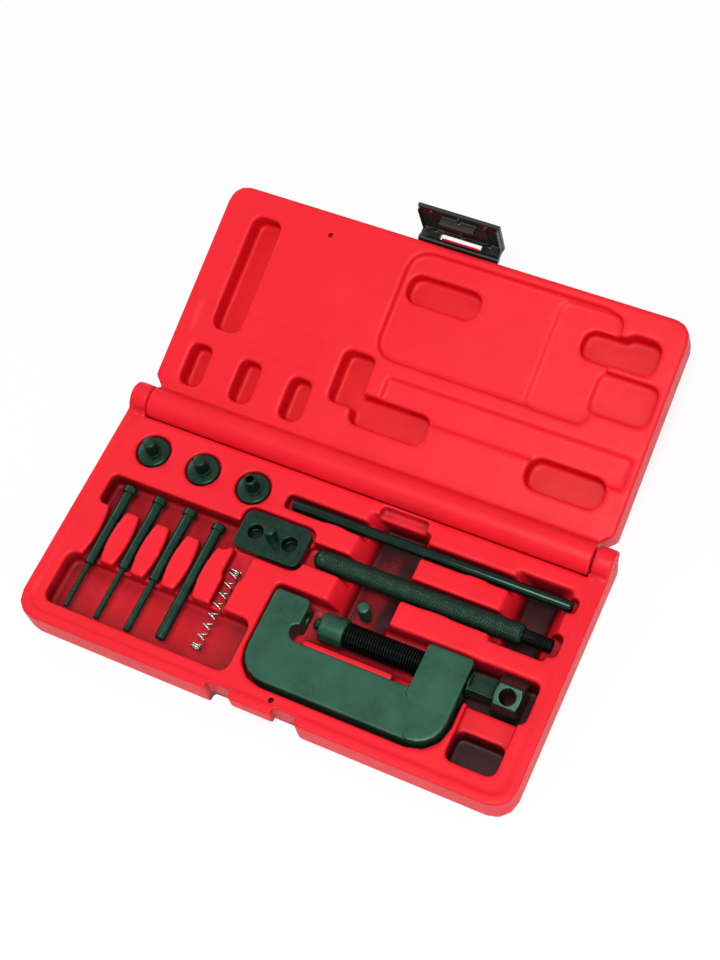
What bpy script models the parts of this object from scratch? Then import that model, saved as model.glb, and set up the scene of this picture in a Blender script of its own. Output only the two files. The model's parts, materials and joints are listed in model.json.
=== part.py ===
"""Chain breaking and riveting tool kit in its hinged, blow-moulded case, lid open.

Metres, +Z up. The case stands on Z = 0 and X = 0 is its middle. Y counts from its front face
while the pieces are made; at the end all of them move so that Y = 0 is its middle too.
The lid and its latch are made shut and turned open at the end.
"""

import math

import bmesh
import bpy
from mathutils import Matrix, Vector

MM = 0.001
FIT = 0.3 * MM  # gap left between pieces that touch

# Case base
CASE_WIDTH = 280 * MM
CASE_DEPTH = 128.7 * MM  # front face to rear wall
BASE_HEIGHT = 20 * MM
RIM_LIP = 1 * MM  # the rim stands this much above the tray
RIM_WIDTH = 5 * MM
CASE_CORNER = 12 * MM
CASE_WALL = 1.8 * MM
CORNER_STEPS = 3
NEEDLE_DIA = 3 * MM  # blow needle hole, the way into each double wall

# Hinge and lid
BARREL_RADIUS = 9 * MM
BARREL_GAP = 0.8 * MM
EAR_WIDTH = 10.3 * MM
LEDGE_DEPTH = 5.5 * MM  # of the base's ledge under the barrel
LEDGE_HEIGHT = 9.5 * MM
EAR_RADIUS = 8.5 * MM
HINGE_PIN_DIA = 3 * MM
HINGE_PIN_LENGTH = 24 * MM
BARREL_END = 18 * MM  # solid length at each end of the hollow barrel
LID_HEIGHT = 22.4 * MM
LID_CORNER = 10 * MM
LID_SIDE_CHAMFER = 5.5 * MM
LID_OPEN = math.radians(163.4)

# Latch
LATCH_WIDTH = 47 * MM
LATCH_WINDOW = 24 * MM
LATCH_REACH = 9 * MM  # pivot to outer face
LATCH_SKIN = 2.1 * MM
LATCH_DROP = 23.3 * MM  # pivot to lower edge
LATCH_BAR_RADIUS = 1.85 * MM
LATCH_PIVOT_OUT = 2.5 * MM  # pivot beyond the lid's front wall
LATCH_PIVOT_DEEP = 4.5 * MM  # pivot above the lid's inner face, lid shut
LATCH_LEAN = math.radians(8)
LATCH_RIB = 1.4 * MM
LATCH_BRIDGE_OUT = 5.5 * MM  # pivot to the bridge's inner edge
LATCH_HOOK_UNDER = 1.6 * MM  # how far the hook reaches under the catch
CATCH_FLOOR = 8 * MM  # underside of the catch block
CATCH_DEPTH = 4.5 * MM

# Push pins: shank lengths run from the tip (front) to the head (rear)
PIN_COUNT = 4
PIN_FIRST_X = 24 * MM  # from the case's left side
PIN_PITCH = 18.5 * MM
PIN_FRONT_Y = 13.4 * MM
PIN_LENGTH = 74.6 * MM
LAST_PIN_INSET = 2.1 * MM  # the plain pin is this much shorter at each end
PIN_SHANK_DIA = 6 * MM
PIN_HEAD_DIA = 7.8 * MM
PIN_HEAD_LENGTH = 4.3 * MM
PIN_TIP_DIAS = (2.8 * MM, 3.2 * MM, 4 * MM)
PIN_TIP_LENGTHS = (25.9 * MM, 29.9 * MM, 29.9 * MM)
PIN_AXIS_DROP = 3.2 * MM  # shank axis below the tray

# Spring
SPRING_X = 99.4 * MM
SPRING_FRONT_Y = 18.2 * MM
SPRING_LENGTH = 47.5 * MM
SPRING_DIA = 7 * MM
SPRING_WIRE = 1 * MM
SPRING_OPEN_TURNS = 7
SPRING_CLOSED_TURNS = 1.5

# Round anvils
ANVIL_COUNT = 3
ANVIL_FIRST_X = 25.4 * MM
ANVIL_PITCH = 30.7 * MM
ANVIL_Y = 111.2 * MM
ANVIL_FLANGE_DIA = 18 * MM
ANVIL_FLANGE_THICK = 4 * MM
ANVIL_POST_DIA = 7 * MM
ANVIL_POST_HEIGHT = 10.3 * MM
ANVIL_BORE_DIA = 4 * MM
FLUSH_DROP = 0.3 * MM  # anvil and plate faces below the tray

# Plate anvil
PLATE_X = 109.8 * MM
PLATE_Y = 88.5 * MM
PLATE_LENGTH = 38.5 * MM
PLATE_WIDTH = 23 * MM
PLATE_THICK = 6 * MM
PLATE_CORNER = 5 * MM
PLATE_HOLE_DIA = 8.6 * MM
PLATE_HOLE_FLOOR = 1 * MM
PLATE_HOLE_OFFSET = 10 * MM
STUD_DIA = 6.4 * MM
STUD_HEIGHT = 10.5 * MM
STUD_SPIGOT_DIA = 4.6 * MM

# Tommy bar and knurled handle
BAR_X = 110.4 * MM
BAR_Y = 111.4 * MM
BAR_LENGTH = 158 * MM
BAR_DIA = 6.3 * MM
BAR_AXIS_DROP = 3.2 * MM
HANDLE_X = 134.3 * MM
HANDLE_Y = 88.2 * MM
HANDLE_LENGTH = 116.8 * MM
HANDLE_DIA = 11.5 * MM
HANDLE_STUB_LENGTH = 15.5 * MM
HANDLE_STUB_DIA = 8 * MM
HANDLE_AXIS_DROP = 3.8 * MM

# Press frame and screw
FRAME_X = 125.5 * MM
FRAME_Y = 14.1 * MM
FRAME_LENGTH = 110.2 * MM
FRAME_WIDTH = 49.4 * MM  # foot of the web to the end of the plain arm
FRAME_BOSS_RISE = 1.3 * MM  # the boss arm reaches this much further
FRAME_WEB = 25.9 * MM
FRAME_ARM = 16.5 * MM
FRAME_BOSS = 25 * MM
FRAME_THICK = 15 * MM
FRAME_PROUD = 2.5 * MM  # frame face above the tray
BOSS_EXTRA = 1.2 * MM  # boss face above the frame face, each side
FRAME_OUTER_CORNER = 15 * MM
THROAT_CORNER = 5 * MM
SEAT_THICK = 3.5 * MM  # the plain arm's end stands this much further into the throat
SEAT_START = 7.7 * MM  # where it starts, in front of the screw's axis
SEAT_BORE_DIA = 7.6 * MM
SCREW_RISE = 41.1 * MM  # screw axis above the foot of the web
SCREW_DIA = 14 * MM
SCREW_NECK_SIDE = 9.8 * MM
SCREW_NECK_LENGTH = 14 * MM
SCREW_HEAD_FLATS = 19 * MM
SCREW_HEAD_LENGTH = 14 * MM
SCREW_HEAD_TURN = math.radians(15)
SCREW_CROSS_DIA = 8.5 * MM
HOLDER_X = 154.5 * MM
HOLDER_DIA = 16 * MM
HOLDER_LENGTH = 13.5 * MM
HOLDER_SOCKET_DIA = 9 * MM
HOLDER_SOCKET_DEEP = 5 * MM
NUB_DIA = 6.4 * MM
NUB_OUT = 4.3 * MM
NUB_IN = 7 * MM

# Spare pin, stored upright in the finger well
SPARE_X = 171.3 * MM
SPARE_Y = 70.2 * MM
SPARE_DIA = 6.5 * MM
SPARE_TIP_DIA = 3.2 * MM

# Moulded recesses, as depths below the tray
GROOVE_CLEAR = 1.1 * MM
PIN_SHELF_FRONT_Y = 42.5 * MM
PIN_SHELF_REAR_Y = 73.5 * MM
TROUGH_DEEP = 12 * MM
HEAD_TROUGH_DEEP = 12 * MM
WELL_DEEP = 16 * MM
STUB_WELL_BACK = 15.6 * MM  # the well's middle, back from the end of the handle's stub
LOW_LAND_DEEP = 5 * MM
POCKET_DEEP = 16 * MM
LID_POCKET_DEEP = 12.5 * MM

LEFT = -CASE_WIDTH / 2
RIGHT = CASE_WIDTH / 2
TRAY = BASE_HEIGHT - RIM_LIP
BARREL_Y = CASE_DEPTH + BARREL_GAP + BARREL_RADIUS
HINGE_Z = TRAY
LID_FACE = TRAY + FIT
LID_FRONT = RIM_WIDTH + 1 * MM
LID_HALF = CASE_WIDTH / 2 - RIM_WIDTH - 0.6 * MM
LID_REAR = BARREL_Y - BARREL_RADIUS - 0.5 * MM
BARREL_HALF = CASE_WIDTH / 2 - EAR_WIDTH - BARREL_GAP
ABOVE = 12 * MM  # how far a cutter runs out past the face it cuts
SIDES = 28

RED = (0.871, 0.036, 0.051)
BLACK_STEEL = (0.026, 0.058, 0.047)
GREY_STEEL = (0.075, 0.133, 0.105)
BLACK_PLASTIC = (0.008, 0.012, 0.010)
BRIGHT_STEEL = (0.62, 0.60, 0.57)


# ---------------------------------------------------------------- helpers


def clear_scene():
    for obj in list(bpy.data.objects):
        bpy.data.objects.remove(obj, do_unlink=True)


def material(name, colour, roughness, metallic):
    made = bpy.data.materials.new(name)
    made.use_nodes = True
    shader = made.node_tree.nodes["Principled BSDF"]
    shader.inputs["Base Color"].default_value = (*colour, 1)
    shader.inputs["Roughness"].default_value = roughness
    shader.inputs["Metallic"].default_value = metallic
    return made


def object_of(name, mesh):
    obj = bpy.data.objects.new(name, mesh)
    bpy.context.scene.collection.objects.link(obj)
    return obj


def object_from(name, bm):
    bmesh.ops.recalc_face_normals(bm, faces=bm.faces[:])
    mesh = bpy.data.meshes.new(name)
    bm.to_mesh(mesh)
    bm.free()
    return object_of(name, mesh)


def bake(obj):
    """The object's evaluated mesh, welded, in place of its modifiers or its curve."""
    graph = bpy.context.evaluated_depsgraph_get()
    mesh = bpy.data.meshes.new_from_object(obj.evaluated_get(graph))
    bm = bmesh.new()
    bm.from_mesh(mesh)
    bmesh.ops.remove_doubles(bm, verts=bm.verts[:], dist=1e-6)
    bmesh.ops.recalc_face_normals(bm, faces=bm.faces[:])
    bm.to_mesh(mesh)
    bm.free()
    mesh.transform(obj.matrix_world)
    name = obj.name
    bpy.data.objects.remove(obj, do_unlink=True)
    return object_of(name, mesh)


def combine(obj, other, operation):
    """Joins, cuts or intersects obj with other, which is used up."""
    modifier = obj.modifiers.new(operation.title(), "BOOLEAN")
    modifier.operation = operation
    modifier.solver = "EXACT"
    modifier.object = other
    graph = bpy.context.evaluated_depsgraph_get()
    mesh = bpy.data.meshes.new_from_object(obj.evaluated_get(graph))
    obj.modifiers.clear()
    obj.data = mesh
    bpy.data.objects.remove(other, do_unlink=True)
    return obj


def cut(obj, *others):
    for other in others:
        combine(obj, other, "DIFFERENCE")
    return obj


def join(obj, *others):
    for other in others:
        combine(obj, other, "UNION")
    return obj


def arc(corner, before, after, radius, steps):
    """Points of a fillet at a corner of an outline."""
    here = Vector(corner)
    back = (Vector(before) - here).normalized()
    ahead = (Vector(after) - here).normalized()
    half = back.angle(ahead) / 2
    centre = here + (back + ahead).normalized() * radius / math.sin(half)
    start = here + back * radius / math.tan(half) - centre
    end = here + ahead * radius / math.tan(half) - centre
    sweep = start.angle(end)
    points = []
    for i in range(steps + 1):
        share = i / steps
        points.append(centre + (start * math.sin((1 - share) * sweep)
                                + end * math.sin(share * sweep)) / math.sin(sweep))
    return points


def rounded(corners, steps=CORNER_STEPS):
    """Outline points from corners (x, y, radius); a radius of 0 stays sharp."""
    points = []
    for i, (x, y, radius) in enumerate(corners):
        if radius <= 0:
            points.append(Vector((x, y)))
            continue
        before = corners[i - 1][:2]
        after = corners[(i + 1) % len(corners)][:2]
        points += arc((x, y), before, after, radius, steps)
    return points


def slab(name, outline, bottom, top):
    """A flat outline raised from bottom to top."""
    curve = bpy.data.curves.new(name, "CURVE")
    curve.dimensions = "2D"
    curve.fill_mode = "BOTH"
    curve.extrude = (top - bottom) / 2
    spline = curve.splines.new("POLY")
    spline.points.add(len(outline) - 1)
    for point, (x, y) in zip(spline.points, outline):
        point.co = (x, y, 0, 1)
    spline.use_cyclic_u = True
    obj = object_of(name, curve)
    obj.location.z = (top + bottom) / 2
    bpy.context.view_layer.update()
    return bake(obj)


def block(name, low, high, radius=0.0, steps=CORNER_STEPS):
    """A box between two corners, its upright edges rounded."""
    (x0, y0, z0), (x1, y1, z1) = low, high
    corners = [(x0, y0, radius), (x1, y0, radius), (x1, y1, radius), (x0, y1, radius)]
    return slab(name, rounded(corners, steps), z0, z1)


def section(name, outline, front, rear):
    """An outline of (x, z) points carried from front to rear along Y."""
    solid = slab(name, outline, -rear, -front)
    solid.data.transform(Matrix.Rotation(math.pi / 2, 4, "X"))
    return solid


def rod(name, start, end, radius, sides=SIDES, turn=0.0):
    """A cylinder or regular prism from start to end."""
    start, end = Vector(start), Vector(end)
    along = end - start
    place = Matrix.Translation((start + end) / 2)
    place @= along.to_track_quat("Z", "Y").to_matrix().to_4x4()
    place @= Matrix.Rotation(turn, 4, "Z")
    bm = bmesh.new()
    bmesh.ops.create_cone(bm, cap_ends=True, segments=sides, radius1=radius,
                          radius2=radius, depth=along.length, matrix=place)
    return object_from(name, bm)


def turned(name, profile, start, towards, sides=SIDES):
    """A turned piece: profile is (distance along, radius), from axis to axis."""
    mesh = bpy.data.meshes.new(name)
    points = [(radius, 0, along) for along, radius in reversed(profile)]
    mesh.from_pydata(points, [(i, i + 1) for i in range(len(points) - 1)], [])
    obj = object_of(name, mesh)
    screw = obj.modifiers.new("Screw", "SCREW")
    screw.axis = "Z"
    screw.steps = sides
    screw.render_steps = sides
    screw.use_merge_vertices = True
    screw.merge_threshold = 1e-6
    obj.matrix_world = (Matrix.Translation(start)
                        @ Vector(towards).to_track_quat("Z", "Y").to_matrix().to_4x4())
    bpy.context.view_layer.update()
    return bake(obj)


def hourglass(name, x, y0, y1, middle, ends, bottom, top, steps=6):
    """A groove along Y that narrows at half its length to grip what lies in it."""
    outline = []
    for side in (1, -1):
        for i in range(steps + 1):
            share = side * (2 * i / steps - 1)
            half = middle + (ends - middle) * share * share
            y = (y0 + y1) / 2 + share * (y1 - y0) / 2
            outline.append((x + side * half, y))
    return slab(name, outline, bottom, top)


def finish(obj, name, finish_material, collection, smooth=True):
    obj.name = name
    obj.data.name = name
    obj.data.materials.clear()
    obj.data.materials.append(finish_material)
    for owner in list(obj.users_collection):
        owner.objects.unlink(obj)
    collection.objects.link(obj)
    if smooth:
        obj.data.shade_smooth()
        obj.data.set_sharp_from_angle(angle=math.radians(35))
    return obj


# ---------------------------------------------------------------- places shared by tools and recesses


def pin_x(i):
    return LEFT + PIN_FIRST_X + i * PIN_PITCH


def anvil_x(i):
    return LEFT + ANVIL_FIRST_X + i * ANVIL_PITCH


PLATE_CENTRE_X = LEFT + PLATE_X
BAR_START = LEFT + BAR_X
HANDLE_START = LEFT + HANDLE_X
HANDLE_TOP = TRAY - HANDLE_AXIS_DROP + HANDLE_DIA / 2
FRAME_LEFT = LEFT + FRAME_X
FRAME_RIGHT = FRAME_LEFT + FRAME_LENGTH
FRAME_TOP = TRAY + FRAME_PROUD
FRAME_BOTTOM = FRAME_TOP - FRAME_THICK
BOSS_LEFT = FRAME_RIGHT - FRAME_BOSS
THROAT_Y = FRAME_Y + FRAME_WEB
FRAME_REAR = FRAME_Y + FRAME_WIDTH
SCREW_Y = FRAME_Y + SCREW_RISE
SCREW_Z = FRAME_TOP - FRAME_THICK / 2
HOLDER_LEFT = LEFT + HOLDER_X
HOLDER_RIGHT = HOLDER_LEFT + HOLDER_LENGTH
NECK_START = FRAME_RIGHT + 1 * MM
HEAD_START = NECK_START + SCREW_NECK_LENGTH
HEAD_END = HEAD_START + SCREW_HEAD_LENGTH
HEAD_RADIUS = SCREW_HEAD_FLATS / 2 / math.cos(math.pi / 6)
SPARE_PIN_X = LEFT + SPARE_X
WELL_FLOOR = TRAY - WELL_DEEP
HEAD_RECESS_RIGHT = HEAD_END + 5.3 * MM
HEAD_RECESS_FRONT = SCREW_Y - HEAD_RADIUS - 0.6 * MM
HEAD_RECESS_REAR = SCREW_Y + HEAD_RADIUS + 0.6 * MM


# ---------------------------------------------------------------- case base


def hump(name, x, y, width, reach, bottom, top):
    """A half-round bulge that a groove's wall keeps, to hold the bar in."""
    outline = []
    for i in range(7):
        share = i / 6 * 2 - 1
        outline.append((x + share * width / 2, y + reach * (1 - share * share)))
    outline.append((x + width / 2, y - 2 * MM))
    outline.append((x - width / 2, y - 2 * MM))
    return slab(name, outline, bottom, top)


def base_recesses(grow):
    """Cutters for every recess of the tray, larger by grow all round."""
    top = TRAY + ABOVE
    g = grow
    made = []

    def pocket(low, high, deep, radius):
        (x0, y0), (x1, y1) = low, high
        made.append(block("recess", (x0 - g, y0 - g, TRAY - deep - g),
                          (x1 + g, y1 + g, top), radius + g))

    # Round anvils and the plate anvil
    for i in range(ANVIL_COUNT):
        floor = TRAY - FLUSH_DROP - ANVIL_FLANGE_THICK - FIT - g
        made.append(rod("recess", (anvil_x(i), ANVIL_Y, floor),
                        (anvil_x(i), ANVIL_Y, top), ANVIL_FLANGE_DIA / 2 + 0.8 * MM + g))
    half = PLATE_LENGTH / 2 + 1.6 * MM
    wide = PLATE_WIDTH / 2 + 1.6 * MM
    pocket((PLATE_CENTRE_X - half, PLATE_Y - wide), (PLATE_CENTRE_X + half, PLATE_Y + wide),
           FLUSH_DROP + PLATE_THICK + FIT, PLATE_CORNER)

    # Push pins: a trough under the tips, one under the heads, and grooves between them
    trough_left = pin_x(0) - 12.5 * MM
    tips_y = PIN_FRONT_Y - 1.4 * MM
    heads_y = PIN_FRONT_Y + PIN_LENGTH + 3.4 * MM
    pocket((trough_left, tips_y), (FRAME_LEFT - 5 * MM, PIN_SHELF_FRONT_Y), TROUGH_DEEP, 5 * MM)
    pocket((trough_left, PIN_SHELF_REAR_Y),
           (PLATE_CENTRE_X - half + 2 * MM, heads_y), HEAD_TROUGH_DEEP, 3 * MM)
    shank_floor = TRAY - PIN_AXIS_DROP - PIN_SHANK_DIA / 2 - FIT - g
    for i in range(PIN_COUNT):
        made.append(hourglass("recess", pin_x(i), PIN_SHELF_FRONT_Y - 3 * MM,
                              PIN_SHELF_REAR_Y + 3 * MM, PIN_SHANK_DIA / 2 + FIT + g,
                              PIN_SHANK_DIA / 2 + 3.4 * MM + g, shank_floor, top))

    # Spring: a groove that holds its rear half, the rest hangs over the trough
    spring_x = LEFT + SPRING_X
    spring_radius = SPRING_DIA / 2
    spring_deep = PIN_AXIS_DROP + spring_radius + FIT
    pocket((spring_x - spring_radius - 0.7 * MM, PIN_SHELF_FRONT_Y - 2 * MM),
           (spring_x + spring_radius + 0.7 * MM, PIN_SHELF_REAR_Y - 12 * MM),
           spring_deep, 0.6 * MM)
    pocket((spring_x - spring_radius - 2.2 * MM, PIN_SHELF_REAR_Y - 14 * MM),
           (spring_x + spring_radius + 2.2 * MM, PIN_SHELF_REAR_Y + 3 * MM),
           spring_deep, 1.5 * MM)

    # Tommy bar and knurled handle
    bar_half = BAR_DIA / 2 + GROOVE_CLEAR
    pocket((BAR_START - 3.5 * MM, BAR_Y - bar_half),
           (BAR_START + BAR_LENGTH + 2.5 * MM, BAR_Y + bar_half),
           BAR_AXIS_DROP + BAR_DIA / 2 + FIT, 2 * MM)
    handle_half = HANDLE_DIA / 2 + 0.8 * MM
    handle_end = HANDLE_START + HANDLE_LENGTH + HANDLE_STUB_LENGTH
    pocket((PLATE_CENTRE_X + half - 2 * MM, HANDLE_Y - handle_half),
           (handle_end + 4.4 * MM, HANDLE_Y + handle_half),
           HANDLE_AXIS_DROP + HANDLE_DIA / 2 + FIT, 3 * MM)

    # Finger wells across the bar, the handle and the screw
    def well(mouth, floor, front, rear):
        outline = [(mouth[0] - g, top), (mouth[0] - g, TRAY), (floor[0] - g, WELL_FLOOR - g),
                   (floor[1] + g, WELL_FLOOR - g), (mouth[1] + g, TRAY), (mouth[1] + g, top)]
        made.append(section("recess", outline, front - g, rear + g))

    middle = SPARE_PIN_X
    well((middle - 19.8 * MM, middle + 15.7 * MM), (middle - 10.3 * MM, middle + 11.7 * MM),
         FRAME_REAR - 3 * MM, BAR_Y + 10 * MM)
    pocket((middle - 15 * MM, BAR_Y + 8 * MM), (middle + 11.5 * MM, CASE_DEPTH - 1.3 * MM),
           5 * MM, 1.5 * MM)
    middle = handle_end - STUB_WELL_BACK
    well((middle - 16 * MM, middle + 16 * MM), (middle - 7 * MM, middle + 8 * MM),
         HANDLE_Y - 10 * MM, BAR_Y + 7.8 * MM)

    # Press frame, its boss and the screw head
    pocket((FRAME_LEFT - 2 * MM, FRAME_Y - 2.2 * MM), (FRAME_RIGHT + 2 * MM, FRAME_REAR + 3.6 * MM),
           TRAY - FRAME_BOTTOM + FIT, FRAME_OUTER_CORNER + 2 * MM)
    pocket((FRAME_LEFT - 2 * MM, THROAT_Y), (FRAME_RIGHT + 2 * MM, FRAME_REAR + 3.6 * MM),
           TRAY - FRAME_BOTTOM + FIT, 3 * MM)
    x0, x1 = BOSS_LEFT - 2.4 * MM - g, FRAME_RIGHT + 2 * MM + g
    y0, y1 = FRAME_Y - 2.2 * MM - g, FRAME_REAR + 3.6 * MM + g
    boss = rounded([(x0, y0, 3 * MM + g), (x1, y0, FRAME_OUTER_CORNER + 2 * MM + g),
                    (x1, y1, 3 * MM + g), (x0, y1, 3 * MM + g)])
    made.append(slab("recess", boss, FRAME_BOTTOM - BOSS_EXTRA - FIT - g, top))
    pocket((HOLDER_LEFT - 8 * MM, SCREW_Y - HOLDER_DIA / 2 - 1 * MM),
           (BOSS_LEFT, SCREW_Y + HOLDER_DIA / 2 + 1 * MM),
           TRAY - SCREW_Z + HOLDER_DIA / 2 + 0.8 * MM, 2 * MM)
    pocket((FRAME_RIGHT - 4 * MM, HEAD_RECESS_FRONT), (HEAD_RECESS_RIGHT, HEAD_RECESS_REAR),
           TRAY - SCREW_Z + HEAD_RADIUS + 0.4 * MM, 3 * MM)

    # Low land and deep pocket beside the frame
    pocket((FRAME_RIGHT + 4.3 * MM, FRAME_Y + 14 * MM),
           (HEAD_RECESS_RIGHT - 3.3 * MM, HEAD_RECESS_FRONT + 3 * MM), LOW_LAND_DEEP, 2.5 * MM)
    pocket((FRAME_RIGHT + 4.3 * MM, FRAME_Y - 0.5 * MM),
           (HEAD_RECESS_RIGHT - 3.3 * MM, FRAME_Y + 17 * MM), POCKET_DEEP, 4 * MM)
    return made


def base_lands():
    """What stands up again inside the recesses."""
    island_top = SCREW_Z - 1 * MM
    lands = [
        block("land", (HOLDER_LEFT - 6.5 * MM, THROAT_Y + 1.5 * MM, CASE_WALL),
              (BOSS_LEFT - 12 * MM, THROAT_Y + 5.4 * MM, island_top), 1.2 * MM),
    ]
    bar_wall = BAR_Y - BAR_DIA / 2 - GROOVE_CLEAR
    handle_wall = HANDLE_Y - HANDLE_DIA / 2 - 0.8 * MM
    bar_floor = TRAY - BAR_AXIS_DROP - BAR_DIA / 2 - CASE_WALL
    handle_floor = TRAY - HANDLE_AXIS_DROP - HANDLE_DIA / 2 - CASE_WALL
    lands.append(hump("land", BAR_START + 27.5 * MM, bar_wall, 16 * MM,
                      GROOVE_CLEAR - FIT, bar_floor, TRAY))
    lands.append(hump("land", BAR_START + 107.5 * MM, bar_wall, 16 * MM,
                      GROOVE_CLEAR - FIT, bar_floor, TRAY))
    lands.append(hump("land", HANDLE_START + 73 * MM, handle_wall, 19 * MM,
                      0.8 * MM - FIT, handle_floor, TRAY))
    return lands


def base_outline():
    """The base seen from above; two ears carry the hinge at the rear."""
    ear_rear = BARREL_Y + EAR_RADIUS
    inner = RIGHT - EAR_WIDTH
    return rounded([(LEFT, 0, CASE_CORNER), (RIGHT, 0, CASE_CORNER), (RIGHT, ear_rear, 3 * MM),
                    (inner, ear_rear, 3 * MM), (inner, CASE_DEPTH, 0), (-inner, CASE_DEPTH, 0),
                    (-inner, ear_rear, 3 * MM), (LEFT, ear_rear, 3 * MM)])


def make_base():
    base = slab("base", base_outline(), 0, BASE_HEIGHT)
    ear_top = BARREL_Y + EAR_RADIUS + 1 * MM
    for side in (-1, 1):
        x0, x1 = sorted((side * (RIGHT - EAR_WIDTH - 1 * MM), side * (RIGHT + 1 * MM)))
        cut(base, block("cutter", (x0, BARREL_Y, HINGE_Z), (x1, ear_top, BASE_HEIGHT + 1 * MM)))
        start = (side * (RIGHT - EAR_WIDTH), BARREL_Y, HINGE_Z)
        join(base, rod("ear", start, (side * RIGHT, BARREL_Y, HINGE_Z), EAR_RADIUS))
    half = RIGHT - RIM_WIDTH
    rear = CASE_DEPTH + BARREL_GAP / 2
    cut(base, slab("cutter", rounded([(-half, RIM_WIDTH, 8 * MM), (half, RIM_WIDTH, 8 * MM),
                                      (half, rear, 0), (-half, rear, 0)]),
                   TRAY, BASE_HEIGHT + 1 * MM))
    ledge_half = RIGHT - EAR_WIDTH + 1 * MM
    join(base, block("ledge", (-ledge_half, CASE_DEPTH - 1 * MM, 0),
                     (ledge_half, CASE_DEPTH + LEDGE_DEPTH, LEDGE_HEIGHT)))
    cut(base, *base_recesses(0))
    join(base, *base_lands())

    w = CASE_WALL
    hollow = block("hollow", (LEFT + w, w, w), (RIGHT - w, CASE_DEPTH - w, TRAY - w),
                   CASE_CORNER - w)
    cut(hollow, *base_recesses(CASE_WALL))
    latch_half = LATCH_WIDTH / 2 + 1.5 * MM
    cut(hollow, block("cutter", (-latch_half - CASE_WALL, -1 * MM, -1 * MM),
                      (latch_half + CASE_WALL, CATCH_DEPTH + CASE_WALL, TRAY + 1 * MM)))
    cut(base, hollow)

    # Latch recess in the front wall, round the catch block
    notch = latch_half - LATCH_WINDOW / 2
    for side in (-1, 1):
        x0, x1 = sorted((side * LATCH_WINDOW / 2, side * (LATCH_WINDOW / 2 + notch)))
        cut(base, block("cutter", (x0, -1 * MM, -1 * MM), (x1, CATCH_DEPTH, BASE_HEIGHT + 1 * MM)))
    cut(base, block("cutter", (-LATCH_WINDOW / 2 - 1 * MM, -1 * MM, -1 * MM),
                    (LATCH_WINDOW / 2 + 1 * MM, CATCH_DEPTH, CATCH_FLOOR)))
    needle = (LATCH_WINDOW / 2 - 2.8 * MM, CATCH_DEPTH + 3.1 * MM)
    cut(base, rod("cutter", (*needle, TRAY - 3 * CASE_WALL), (*needle, TRAY + 2 * MM),
                  NEEDLE_DIA / 2, 12))
    for side in (-1, 1):
        cut(base, rod("cutter", (side * (RIGHT - EAR_WIDTH - 2 * MM), BARREL_Y, HINGE_Z),
                      (side * (RIGHT + 1 * MM), BARREL_Y, HINGE_Z),
                      HINGE_PIN_DIA / 2 + FIT, 16))
    return base


# ---------------------------------------------------------------- lid


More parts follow.
